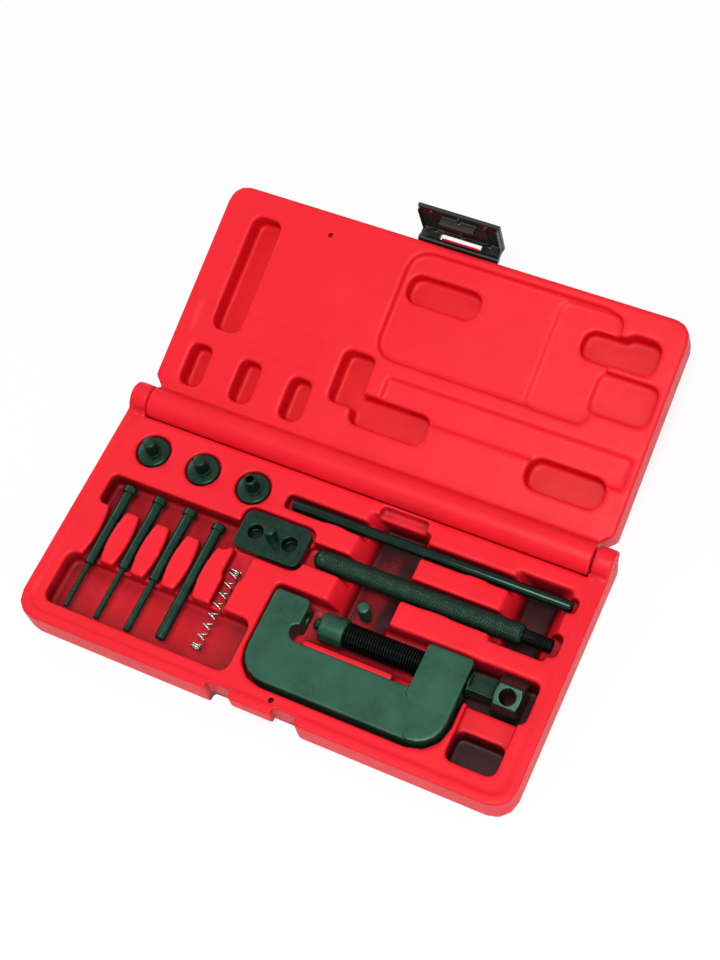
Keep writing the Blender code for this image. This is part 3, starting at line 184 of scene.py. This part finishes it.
def keep_skin(piece, inside_hole):
    """Removes the faces inside the given holes and the hollow behind them, and closes the skin."""
    select_faces(piece, inside_hole)
    bpy.ops.mesh.delete(type="FACE")
    bpy.ops.mesh.select_all(action="SELECT")
    bpy.ops.mesh.separate(type="LOOSE")
    bpy.ops.object.mode_set(mode="OBJECT")
    parts = sorted(bpy.context.selected_objects, key=lambda part: part.dimensions.length)
    skin = parts.pop()
    for part in parts:
        bpy.data.objects.remove(part, do_unlink=True)
    pick(skin)
    bpy.ops.object.mode_set(mode="EDIT")
    close_openings()
    bpy.ops.object.mode_set(mode="OBJECT")
    return skin


def soften(piece, voxel, passes, degrees=60):
    """Rounds over every edge of a piece, as a mould, a forge or a tumbler leaves it."""
    apply(piece, "REMESH", mode="VOXEL", voxel_size=voxel, use_smooth_shade=True)
    apply(piece, "SMOOTH", factor=0.5, iterations=passes)
    faces = 2 * len(piece.data.polygons)
    if faces > MOST_FACES:
        apply(piece, "DECIMATE", ratio=MOST_FACES / faces)
    smooth(piece, degrees)
    return piece


def drill(piece, mouth, radius, reach):
    """A blind hole down Z, reach deep and as much above its mouth."""
    deselect()
    bpy.ops.mesh.primitive_cylinder_add(vertices=24, radius=radius, depth=2 * reach, location=mouth)
    bit = bpy.context.object
    apply(piece, "BOOLEAN", operation="DIFFERENCE", object=bit, solver="EXACT")
    bpy.data.objects.remove(bit, do_unlink=True)
    smooth(piece, 60)


def settle(piece, name, body, finish, *nodes):
    """Names a finished piece, gives it its material, hangs it on its body and hides the CAD nodes that
    it stands for.
    """
    piece.name = name
    piece.data.name = name
    piece.data.materials.clear()
    piece.data.materials.append(finish)
    for face in piece.data.polygons:
        face.material_index = 0
    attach(piece, body)
    if nodes:
        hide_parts(*nodes)
    return piece


def along(axis, place, distance, radial=(0, 0)):
    """A point at a distance along X, Y or Z from a place, and off that axis by radial."""
    shift = {"X": (distance, radial[0], radial[1]), "Y": (radial[1], distance, radial[0]),
             "Z": (radial[0], radial[1], distance)}[axis]
    return Vector(place) + Vector(shift)


AXIS_TURN = {"X": (0, math.pi / 2, 0), "Y": (-math.pi / 2, 0, 0), "Z": (0, 0, 0)}


def turned(profile, place, axis, sides=48):
    """A lathe-turned solid: (distance, radius) steps are extruded and scaled from a disc."""
    deselect()
    first = profile[0]
    bpy.ops.mesh.primitive_circle_add(vertices=sides, radius=first[1], fill_type="NGON",
                                      location=along(axis, place, first[0]),
                                      rotation=AXIS_TURN[axis])
    piece = bpy.context.object
    bpy.ops.object.transform_apply(location=True, rotation=True, scale=True)
    bpy.ops.object.mode_set(mode="EDIT")
    bpy.ops.mesh.select_all(action="SELECT")
    last = first
    for step in profile[1:]:
        shift = along(axis, (0, 0, 0), step[0] - last[0])
        bpy.ops.mesh.extrude_region_move(TRANSFORM_OT_translate={"value": shift})
        ratio = step[1] / last[1]
        centre = along(axis, place, step[0])
        bpy.ops.transform.resize(value=(ratio, ratio, ratio), center_override=centre)
        last = step
    bpy.ops.mesh.select_all(action="SELECT")
    bpy.ops.mesh.normals_make_consistent(inside=False)
    bpy.ops.object.mode_set(mode="OBJECT")
    smooth(piece, 35)
    return piece


def rolled(length, radius_at, place, rings, sides):
    """A sheet rolled into a bar along X, its radius set all over by radius_at(distance, angle)."""
    deselect()
    bpy.ops.mesh.primitive_grid_add(x_subdivisions=rings, y_subdivisions=sides, size=1)
    piece = bpy.context.object
    for vert in piece.data.vertices:
        distance = (vert.co.x + 0.5) * length
        angle = (vert.co.y + 0.5) * 2 * math.pi
        radius = radius_at(distance, angle)
        vert.co = (distance, radius * math.cos(angle), radius * math.sin(angle))
        vert.co += Vector(place)
    bpy.ops.object.mode_set(mode="EDIT")
    bpy.ops.mesh.select_all(action="SELECT")
    bpy.ops.mesh.remove_doubles(threshold=0.001 * MM)
    close_openings()
    bpy.ops.mesh.select_all(action="SELECT")
    bpy.ops.mesh.normals_make_consistent(inside=False)
    bpy.ops.object.mode_set(mode="OBJECT")
    smooth(piece, 50)
    return piece


def ramp(value):
    """0 to 1 and back to 0 as value goes round once."""
    share = value % 1
    return 1 - abs(2 * share - 1)


def thread_depth(distance, angle, pitch, depth):
    """How deep a right-hand thread is cut at a point of a bar along X."""
    wave = ramp(distance / pitch - angle / (2 * math.pi))
    return depth * min(1, max(0, 1.35 * wave - 0.2))


def lie(node):
    """(lowest corner, highest corner, middle) of a CAD node."""
    low, high = (Vector(corner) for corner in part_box(node))
    return low, high, (low + high) / 2


# ---------------------------------------------------------------- materials


def paint(code):
    """The linear colour of an sRGB hex value."""
    channels = [int(code[i:i + 2], 16) / 255 for i in (1, 3, 5)]
    return [c / 12.92 if c <= 0.04045 else ((c + 0.055) / 1.055) ** 2.4 for c in channels] + [1]


def node(tree, kind, inputs=None, **settings):
    """Adds a node with its settings, and its inputs as values or as links from other nodes."""
    made = tree.nodes.new(kind)
    for name, value in settings.items():
        setattr(made, name, value)
    for key, value in (inputs or {}).items():
        if isinstance(value, bpy.types.NodeSocket):
            tree.links.new(value, made.inputs[key])
        else:
            made.inputs[key].default_value = value
    return made


def finish(name, **plain):
    """A new material: its tree, its shader and the piece's own coordinates."""
    made = bpy.data.materials.new(name)
    made.use_nodes = True
    shader = made.node_tree.nodes["Principled BSDF"]
    for key, value in plain.items():
        shader.inputs[key.replace("_", " ")].default_value = value
    place = node(made.node_tree, "ShaderNodeTexCoord").outputs["Object"]
    return made, made.node_tree, shader, place


def noise(tree, place, size, detail=2.0):
    """Noise whose lumps are about size across."""
    return node(tree, "ShaderNodeTexNoise", {"Vector": place, "Scale": 1 / size,
                                             "Detail": detail}).outputs["Fac"]


def spread(tree, value, low, high, start=0.3, end=0.7):
    """Stretches a noise's middle range to run from low to high."""
    return node(tree, "ShaderNodeMapRange", {"Value": value, "From Min": start, "From Max": end,
                                             "To Min": low, "To Max": high}).outputs["Result"]


def blend_colours(tree, share, one, other):
    mix = node(tree, "ShaderNodeMix", {0: share, 6: one, 7: other}, data_type="RGBA")
    return mix.outputs[2]


def bump(tree, height, rise, below=None):
    inputs = {"Height": height, "Distance": rise, "Strength": 1.0}
    if below is not None:
        inputs["Normal"] = below
    return node(tree, "ShaderNodeBump", inputs).outputs["Normal"]


def sheltered(tree, reach):
    """1 on an open face, towards 0 where the piece's own walls stand close round: the mask by which
    shade is painted into recesses.
    """
    return node(tree, "ShaderNodeAmbientOcclusion", {"Distance": reach},
                samples=8, only_local=True).outputs["AO"]


def red_polyethylene(name, recess_shade):
    # Blow-moulded HDPE: an even red with a waxy sheen and the orange peel of a cooled skin.
    # Shade is painted into its recesses: the red darkens towards the recess colour where its own walls
    # stand close round.
    made, tree, shader, place = finish(name, IOR=1.5, Specular_IOR_Level=0.2)
    tint = spread(tree, noise(tree, place, 30 * MM), 0, 1)
    open_face = blend_colours(tree, tint, paint("#E61A29"), paint("#EC1F2E"))
    shelter = sheltered(tree, RECESS_REACH)
    # Painted shade: the red darkens towards the recess colour in the recesses
    red = blend_colours(tree, spread(tree, shelter, 0, 1, 0.35, 0.95), paint(recess_shade), open_face)
    tree.links.new(red, shader.inputs["Base Color"])
    tree.links.new(spread(tree, noise(tree, place, 9 * MM), 0.42, 0.5), shader.inputs["Roughness"])
    peel = bump(tree, noise(tree, place, 2.6 * MM), 0.05 * MM)
    tree.links.new(bump(tree, noise(tree, place, 14 * MM), 0.18 * MM, peel), shader.inputs["Normal"])
    return made, tree, shader, place, shelter, red


def tray_polyethylene():
    # The same plastic in the base, with shade painted near black into its deep wells
    made, tree, shader, place, shelter, red = red_polyethylene("red_polyethylene_tray", "#6A040B")
    height = node(tree, "ShaderNodeSeparateXYZ", {0: place}).outputs["Z"]
    deep = spread(tree, height, 1, 0, WELL_FLOOR, WELL_SHADE_TOP)
    walled = spread(tree, shelter, 1, 0, 0.92, 0.99)
    # Painted shade: near-black red at the floors of the deep wells, fading out up their walls
    painted_well_shade = node(tree, "ShaderNodeMath", {0: deep, 1: walled}, operation="MULTIPLY").outputs[0]
    tree.links.new(blend_colours(tree, painted_well_shade, red, paint("#2A0207")), shader.inputs["Base Color"])
    return made


def blackened_steel(name, dark, light, low, high):
    # Tool steel, blackened hot and oiled: near black with a green cast and a soft gloss,
    # with shade painted near black into its bores and grooves
    made, tree, shader, place = finish(name, Metallic=0.7, Specular_IOR_Level=0.3)
    stain = spread(tree, noise(tree, place, 5 * MM, 4), 0, 1)
    skin = blend_colours(tree, stain, paint(dark), paint(light))
    # Painted shade: bores, grooves and thread roots darken to near black
    groove = spread(tree, sheltered(tree, GROOVE_REACH), 0, 1, 0.45, 0.95)
    tree.links.new(blend_colours(tree, groove, paint("#020403"), skin), shader.inputs["Base Color"])
    tree.links.new(spread(tree, noise(tree, place, 1.5 * MM), low, high), shader.inputs["Roughness"])
    tree.links.new(bump(tree, noise(tree, place, 0.5 * MM), 0.008 * MM), shader.inputs["Normal"])
    return made


def phosphated_steel():
    # Forged steel, tumbled and phosphated: mottled grey green, a fine grain over slow waves
    made, tree, shader, place = finish("phosphated_steel", Metallic=0.65)
    mottle = spread(tree, noise(tree, place, 2.2 * MM, 5), 0, 1)
    cloud = spread(tree, noise(tree, place, 18 * MM, 3), 0, 1)
    green = blend_colours(tree, mottle, paint("#17382A"), paint("#204836"))
    tree.links.new(blend_colours(tree, cloud, green, paint("#275240")), shader.inputs["Base Color"])
    tree.links.new(spread(tree, mottle, 0.46, 0.4, 0, 1), shader.inputs["Roughness"])
    grain = bump(tree, noise(tree, place, 0.6 * MM, 3), 0.012 * MM)
    tree.links.new(bump(tree, noise(tree, place, 9 * MM), 0.08 * MM, grain), shader.inputs["Normal"])
    return made


def bright_steel():
    # Drawn or ground steel left plain: light grey, faintly streaked
    made, tree, shader, place = finish("bright_steel", Metallic=1.0)
    haze = spread(tree, noise(tree, place, 2 * MM, 3), 0, 1)
    tree.links.new(blend_colours(tree, haze, paint("#B8BAB4"), paint("#A3A8A2")),
                   shader.inputs["Base Color"])
    tree.links.new(spread(tree, haze, 0.2, 0.32, 0, 1), shader.inputs["Roughness"])
    return made


def black_polypropylene():
    # Injection-moulded PP with a fine spark-eroded grain: black, half glossy
    made, tree, shader, place = finish("black_polypropylene", IOR=1.49)
    shade = spread(tree, noise(tree, place, 6 * MM), 0, 1)
    tree.links.new(blend_colours(tree, shade, paint("#050807"), paint("#0C1110")),
                   shader.inputs["Base Color"])
    tree.links.new(spread(tree, noise(tree, place, 2 * MM), 0.3, 0.42), shader.inputs["Roughness"])
    tree.links.new(bump(tree, noise(tree, place, 0.5 * MM), 0.015 * MM), shader.inputs["Normal"])
    return made


# ---------------------------------------------------------------- case


def make_base(red):
    """The base's moulded skin, its rear wall close to the hinge barrel, with its blow needle hole."""
    low = lie("case_base")[0]
    needle = (BASE_NEEDLE_X, low.y + BASE_NEEDLE_Y)

    def in_needle_hole(place):
        return math.dist((place.x, place.y), needle) < NEEDLE_RIM

    base = keep_skin(copy_of("case_base", "case_base_skin"), in_needle_hole)
    soften(base, CASE_VOXEL, CASE_PASSES)
    rear = -low.y

    def in_rear_wall(place):
        return abs(place.x) < REAR_WALL_HALF and abs(place.y - rear) < REAR_WALL_BAND

    select_faces(base, in_rear_wall)
    bpy.ops.transform.translate(value=(0, REAR_WALL_SHIFT, 0))
    bpy.ops.object.mode_set(mode="OBJECT")
    drill(base, (*needle, 20 * MM), NEEDLE_HOLE, 5 * MM)
    settle(base, "case_base_skin", "base", red, "case_base")


def lid_shut_turn():
    """The matrix that shuts the open lid about its hinge."""
    hinge = JOINTS["lid_hinge"]
    place = Vector(hinge["pos_m"])
    turn = Matrix.Rotation(math.radians(hinge["range_deg"][0]), 4, Vector(hinge["axis"]))
    return Matrix.Translation(place) @ turn @ Matrix.Translation(-place)


def make_lid(red):
    """The lid's moulded skin, worked on while it is shut and turned open again."""
    shut = lid_shut_turn()
    hinge = Vector(JOINTS["lid_hinge"]["pos_m"])
    lid = copy_of("case_lid", "case_lid_skin")
    lid.data.transform(shut)

    def in_hole(place):
        off_hinge = math.dist((place.y, place.z), (hinge.y, hinge.z))
        in_needle_hole = math.dist((place.x, place.y), LID_NEEDLE) < NEEDLE_RIM
        return in_needle_hole or off_hinge < HINGE_HOLE_RIM

    lid = keep_skin(lid, in_hole)
    soften(lid, CASE_VOXEL, CASE_PASSES)
    drill(lid, (*LID_NEEDLE, 19.3 * MM), NEEDLE_HOLE, 4 * MM)
    lid.data.transform(shut.inverted())
    settle(lid, "case_lid_skin", "lid", red, "case_lid")


def make_latch(black):
    """The latch, softened while the lid is shut, when its sides lie square."""
    shut = lid_shut_turn()
    latch = copy_of("latch", "latch_moulding")
    latch.data.transform(shut)
    soften(latch, 0.3 * MM, 3)
    latch.data.transform(shut.inverted())
    settle(latch, "latch_moulding", "latch", black, "latch")


# ---------------------------------------------------------------- press


def blend_boss(forging):
    """Fades the step between the web and the thicker arm, as hot forging leaves it."""
    low, high, _ = lie("press_frame")
    step = high.x - BOSS_ARM
    web_top = low.y + BOSS_WEB

    def near_step(place):
        across = abs(place.x - step - BOSS_SLANT * (web_top - place.y))
        return across < BOSS_FADE and low.y + 1.5 * MM < place.y < web_top - 6 * MM

    select_faces(forging, near_step)
    bpy.ops.mesh.vertices_smooth(factor=0.5, repeat=70)
    bpy.ops.object.mode_set(mode="OBJECT")


def make_press_frame(grey):
    forging = soften(copy_of("press_frame", "press_frame_forging"), 0.55 * MM, 14)
    blend_boss(forging)
    settle(forging, "press_frame_forging", "frame", grey, "press_frame")


def make_screw(black, thread_black):
    """The screw's head and neck, softened, and its cut thread."""
    low, high, _ = lie("pressure_screw")
    _, axis_y, axis_z = JOINTS["screw_turn"]["pos_m"]
    neck_start = high.x - SCREW_NECK_LENGTH
    head = copy_of("pressure_screw", "screw_head")
    bpy.ops.object.mode_set(mode="EDIT")
    bpy.ops.mesh.select_all(action="SELECT")
    bpy.ops.mesh.bisect(plane_co=(neck_start, 0, 0), plane_no=(1, 0, 0), clear_inner=True,
                        use_fill=True)
    bpy.ops.object.mode_set(mode="OBJECT")
    soften(head, 0.22 * MM, 2, 40)
    settle(head, "screw_head", "screw", black, "pressure_screw")

    start = low.x + SCREW_TENON_LENGTH
    length = neck_start + 0.6 * MM - start

    def screw_radius(distance, angle):
        end = min(distance, length - distance)
        taper = max(0, 1 - end / (0.9 * MM)) * 1.1 * MM
        groove = thread_depth(distance, angle, SCREW_PITCH, SCREW_THREAD_DEPTH)
        return SCREW_RADIUS - max(taper, groove)

    thread = rolled(length, screw_radius, (start, axis_y, axis_z), int(length / (0.15 * MM)), 64)
    settle(thread, "screw_thread", "screw", thread_black)
    tenon = turned([(0, SCREW_TENON - 0.6 * MM), (0.4 * MM, SCREW_TENON), (5.6 * MM, SCREW_TENON)],
                   (low.x, axis_y, axis_z), "X", 40)
    settle(tenon, "screw_tenon", "screw", black)


def make_holder(grey, black):
    holder = soften(copy_of("pin_holder", "pin_holder_barrel"), 0.28 * MM, 4)
    settle(holder, "pin_holder_barrel", "carriage", grey, "pin_holder")
    low, high, middle = lie("holder_pin")
    radius = (high.z - low.z) / 2
    length = high.x - low.x
    pin = turned([(0, radius - 1.1 * MM), (0.25 * MM, radius - 0.8 * MM), (0.9 * MM, radius - 0.1 * MM),
                  (1.2 * MM, radius), (length, radius)], (low.x, middle.y, middle.z), "X")
    settle(pin, "holder_pin_ground", "carriage", black, "holder_pin")


# ---------------------------------------------------------------- loose tools


def make_push_pins(black):
    for i in range(4):
        node_name = f"push_pin_{i + 1}"
        low, high, middle = lie(node_name)
        length = high.y - low.y
        head = (high.x - low.x) / 2
        if i < len(PIN_TIPS):
            tip, tip_length = PIN_TIPS[i]
            profile = [(0, tip - 0.35 * MM), (0.35 * MM, tip), (tip_length - 0.3 * MM, tip),
                       (tip_length, tip + 0.25 * MM), (tip_length + 0.05 * MM, PIN_SHANK - 0.6 * MM),
                       (tip_length + 0.6 * MM, PIN_SHANK)]
        else:
            profile = [(0.02 * MM, 0.9 * MM), (0.3 * MM, 1.9 * MM), (0.8 * MM, 2.6 * MM),
                       (1.5 * MM, 2.95 * MM), (2 * MM, PIN_SHANK)]
        start = length - PIN_HEAD_LENGTH
        profile += [(start - 0.3 * MM, PIN_SHANK), (start, PIN_SHANK + 0.25 * MM),
                    (start + 0.05 * MM, head - 0.4 * MM), (start + 0.45 * MM, head),
                    (length - 0.7 * MM, head), (length, head - 0.7 * MM)]
        pin = turned(profile, (middle.x, low.y, middle.z), "Y")
        settle(pin, f"push_pin_turned_{i + 1}", f"pin_{i + 1}", black, node_name)


def make_anvils(black):
    for i in range(3):
        node_name = f"round_anvil_{i + 1}"
        low, high, middle = lie(node_name)
        flange = (high.x - low.x) / 2
        height = high.z - low.z
        profile = [(0, flange - 0.6 * MM), (0.6 * MM, flange), (ANVIL_THICK - 0.7 * MM, flange),
                   (ANVIL_THICK - 0.15 * MM, flange - 0.5 * MM), (ANVIL_THICK, flange - 0.9 * MM),
                   (ANVIL_THICK, ANVIL_POST + 0.5 * MM), (ANVIL_THICK + 0.5 * MM, ANVIL_POST),
                   (height - 0.6 * MM, ANVIL_POST), (height - 0.1 * MM, ANVIL_POST - 0.4 * MM),
                   (height, ANVIL_POST - 0.7 * MM)]
        if i == 2:
            profile += [(height, ANVIL_BORE + 0.3 * MM), (height - 0.4 * MM, ANVIL_BORE),
                        (height - 9 * MM, ANVIL_BORE)]
        anvil = turned(profile, (middle.x, middle.y, low.z), "Z", 64)
        settle(anvil, f"anvil_turned_{i + 1}", f"anvil_{i + 1}", black, node_name)


def make_plate(black):
    plate = soften(copy_of("plate_anvil", "plate_anvil_ground"), 0.3 * MM, 4)
    settle(plate, "plate_anvil_ground", "plate", black, "plate_anvil")
    low, high, middle = lie("plate_anvil_stud")
    radius = (high.x - low.x) / 2
    height = high.z - low.z
    stud = turned([(0, STUD_SPIGOT - 0.2 * MM), (0.3 * MM, STUD_SPIGOT),
                   (STUD_SHOULDER, STUD_SPIGOT), (STUD_SHOULDER, radius - 0.2 * MM),
                   (STUD_SHOULDER + 0.2 * MM, radius),
                   (height - 0.7 * MM, radius), (height - 0.1 * MM, radius - 0.5 * MM),
                   (height, radius - 0.8 * MM)], (middle.x, middle.y, low.z), "Z")
    settle(stud, "plate_stud_turned", "plate", black, "plate_anvil_stud")


def make_tommy_bar(black):
    low, high, middle = lie("tommy_bar")
    radius = (high.z - low.z) / 2
    length = high.x - low.x
    profile = [(0, radius - 1.3 * MM), (0.3 * MM, radius - 0.8 * MM), (0.9 * MM, radius - 0.2 * MM),
               (1.5 * MM, radius), (length - 1.5 * MM, radius), (length - 0.9 * MM, radius - 0.2 * MM),
               (length - 0.3 * MM, radius - 0.8 * MM), (length, radius - 1.3 * MM)]
    bar = turned(profile, (low.x, middle.y, middle.z), "X", 64)
    settle(bar, "tommy_bar_ground", "tommy_bar", black, "tommy_bar")


def make_handle(black, thread_black):
    """The grip's diamond knurling, rolled between a domed end and a chamfer, and the stub's thread."""
    low, high, middle = lie("knurled_handle")
    radius = (high.z - low.z) / 2
    grip = high.x - low.x - STUB_LENGTH
    around = round(2 * math.pi * radius / KNURL_PITCH)

    def grip_radius(distance, angle):
        if distance < radius:
            dome = math.sqrt(max(0.02, 1 - (1 - distance / radius) ** 2))
        else:
            dome = min(1, 0.8 + 0.2 * (grip - distance) / (1.4 * MM))
        turn = angle / (2 * math.pi) * around
        step = distance / KNURL_PITCH
        groove = max(1 - 2.4 * ramp(turn + step), 1 - 2.4 * ramp(turn - step), 0)
        fade = min(1, max(0, (distance - 0.7 * radius) / (2 * MM)))
        return radius * dome - KNURL_DEPTH * groove * fade

    rings = int(grip / (0.24 * MM))
    knurl = rolled(grip, grip_radius, (low.x, middle.y, middle.z), rings, 6 * around)
    settle(knurl, "handle_knurl", "handle", black, "knurled_handle")
    stub = STUB_LENGTH + 1 * MM

    def stub_radius_at(distance, angle):
        end = max(0, 1 - (stub - distance) / (0.8 * MM)) * 0.8 * MM
        groove = thread_depth(distance, angle, STUB_PITCH, STUB_THREAD_DEPTH)
        return STUB_RADIUS - max(end, groove)

    start = (high.x - stub, middle.y, middle.z)
    thread = rolled(stub, stub_radius_at, start, int(stub / (0.12 * MM)), 48)
    settle(thread, "handle_stub_thread", "handle", thread_black)


def make_spring(bright):
    """A closed-end compression spring, wound of round wire."""
    low, high, middle = lie("spring")
    length = high.y - low.y - SPRING_WIRE
    closed = SPRING_CLOSED * CLOSED_PITCH
    open_turns = SPRING_TURNS - 2 * SPRING_CLOSED
    radius = (SPRING_DIAMETER - SPRING_WIRE) / 2
    count = int(SPRING_TURNS * SPRING_STEPS) + 1
    deselect()
    bpy.ops.curve.primitive_bezier_curve_add(location=(0, 0, 0))
    spring = bpy.context.object
    wire = spring.data
    wire.splines.clear()
    spline = wire.splines.new("POLY")
    spline.points.add(count - 1)
    for i, point in enumerate(spline.points):
        turn = i / SPRING_STEPS
        if turn < SPRING_CLOSED:
            distance = closed * turn / SPRING_CLOSED
        elif turn > SPRING_TURNS - SPRING_CLOSED:
            distance = length - closed * (SPRING_TURNS - turn) / SPRING_CLOSED
        else:
            distance = closed + (length - 2 * closed) * (turn - SPRING_CLOSED) / open_turns
        angle = 2 * math.pi * turn
        point.co = (middle.x + radius * math.cos(angle), low.y + SPRING_WIRE / 2 + distance,
                    middle.z + radius * math.sin(angle), 1)
    wire.bevel_depth = SPRING_WIRE / 2
    wire.bevel_resolution = 3
    wire.use_fill_caps = True
    pick(spring)
    bpy.ops.object.convert(target="MESH")
    smooth(spring, 60)
    settle(spring, "spring_coil", "spring", bright, "spring")


def make_spare_pin(grey):
    low, high, middle = lie("spare_pin")
    radius = (high.x - low.x) / 2
    height = high.z - low.z
    pin = turned([(0, SPARE_TIP - 0.3 * MM), (0.3 * MM, SPARE_TIP), (4.9 * MM, SPARE_TIP),
                  (5 * MM, radius - 0.6 * MM), (5.5 * MM, radius), (height - 0.8 * MM, radius),
                  (height - 0.15 * MM, radius - 0.45 * MM), (height, radius - 0.9 * MM)],
                 (middle.x, middle.y, low.z), "Z")
    settle(pin, "spare_pin_turned", "spare", grey, "spare_pin")


def dress_hinge_pins(bright):
    for name in ("hinge_pin_left", "hinge_pin_right"):
        for slot in frame["nodes"][name].material_slots:
            slot.material = bright


# ---------------------------------------------------------------- studio


def make_camera():
    data = bpy.data.cameras.new("camera")
    data.lens = CAMERA_LENS
    data.sensor_width = CAMERA_SENSOR
    data.clip_start = 0.01
    camera = bpy.data.objects.new("camera", data)
    back = CAMERA_RIGHT.cross(CAMERA_UP)
    turn = Matrix((CAMERA_RIGHT, CAMERA_UP, back)).transposed().to_4x4()
    camera.matrix_world = Matrix.Translation(CAMERA_PLACE) @ turn
    bpy.context.scene.collection.objects.link(camera)
    bpy.context.scene.camera = camera


def white_to_the_eye(tree, shade, white):
    """Mixes a shader that shows as plain white to the camera and in glossy surfaces."""
    path = node(tree, "ShaderNodeLightPath")
    seen = node(tree, "ShaderNodeMath", {0: path.outputs["Is Camera Ray"],
                                         1: path.outputs["Is Glossy Ray"]}, operation="MAXIMUM")
    through = node(tree, "ShaderNodeMath", {0: seen.outputs[0],
                                            1: path.outputs["Is Transmission Ray"]},
                   operation="MAXIMUM")
    return node(tree, "ShaderNodeMixShader", {0: through.outputs[0], 1: shade, 2: white})


def make_world():
    world = bpy.data.worlds.new("studio")
    bpy.context.scene.world = world
    world.use_nodes = True
    tree = world.node_tree
    tree.nodes.clear()
    dim = node(tree, "ShaderNodeBackground", {"Color": paint("#FFFFFF"), "Strength": WORLD_LEVEL})
    white = node(tree, "ShaderNodeBackground", {"Color": paint("#FFFFFF"), "Strength": 1.0})
    mixed = white_to_the_eye(tree, dim.outputs[0], white.outputs[0])
    node(tree, "ShaderNodeOutputWorld", {"Surface": mixed.outputs[0]})


def make_floor():
    deselect()
    bpy.ops.mesh.primitive_plane_add(size=TABLE_SIZE, location=(0, 0, -TABLE_DROP))
    floor = bpy.context.object
    floor.name = "floor"
    made, tree, shader, _ = finish("white_table", Roughness=0.9, Specular_IOR_Level=0.1,
                                   Base_Color=paint("#FAFAFA"))
    white = node(tree, "ShaderNodeEmission", {"Color": paint("#FFFFFF"), "Strength": 1.0})
    shadowed = node(tree, "ShaderNodeMixShader", {0: FLOOR_WHITE, 1: shader.outputs[0],
                                                  2: white.outputs[0]})
    mixed = white_to_the_eye(tree, shader.outputs[0], shadowed.outputs[0])
    tree.links.new(mixed.outputs[0], tree.nodes["Material Output"].inputs["Surface"])
    floor.data.materials.append(made)


def make_lamp(name, place, target, size, power):
    data = bpy.data.lights.new(name, "AREA")
    data.shape = "SQUARE"
    data.size = size
    data.energy = power
    lamp = bpy.data.objects.new(name, data)
    lamp.location = place
    lamp.rotation_euler = (Vector(target) - Vector(place)).to_track_quat("-Z", "Y").to_euler()
    bpy.context.scene.collection.objects.link(lamp)


make_camera()
make_world()
make_floor()
make_lamp("key_lamp", (0.2, -0.25, 1.2), (0, 0.05, 0), 0.45, 12)
make_lamp("rim_lamp", (0.9, -0.7, 0.4), (0.05, -0.02, 0), 0.25, 2.2)
make_lamp("side_lamp", (-1.0, 0.5, 0.8), (0, 0.05, 0), 0.5, 3)

# The tray's and the lid's reds differ only in their painted shade: the tray's recesses and deep wells
# are painted far darker
tray_red = tray_polyethylene()
lid_red = red_polyethylene("red_polyethylene_lid", "#D00B19")[0]
dark_steel = blackened_steel("blackened_steel", "#152A22", "#1D3A2F", 0.24, 0.33)
ground_steel = blackened_steel("blackened_ground_steel", "#10211B", "#172C24", 0.17, 0.23)
thread_steel = blackened_steel("blackened_thread_steel", "#060B09", "#0B1512", 0.3, 0.4)
grey_steel = phosphated_steel()
plain_steel = bright_steel()
black_plastic = black_polypropylene()

make_base(tray_red)
make_lid(lid_red)
make_latch(black_plastic)
make_press_frame(grey_steel)
make_screw(dark_steel, thread_steel)
make_holder(grey_steel, dark_steel)
make_push_pins(dark_steel)
make_anvils(dark_steel)
make_plate(dark_steel)
make_tommy_bar(ground_steel)
make_handle(dark_steel, thread_steel)
make_spring(plain_steel)
make_spare_pin(grey_steel)
dress_hinge_pins(plain_steel)

bpy.context.scene.view_settings.view_transform = "Standard"
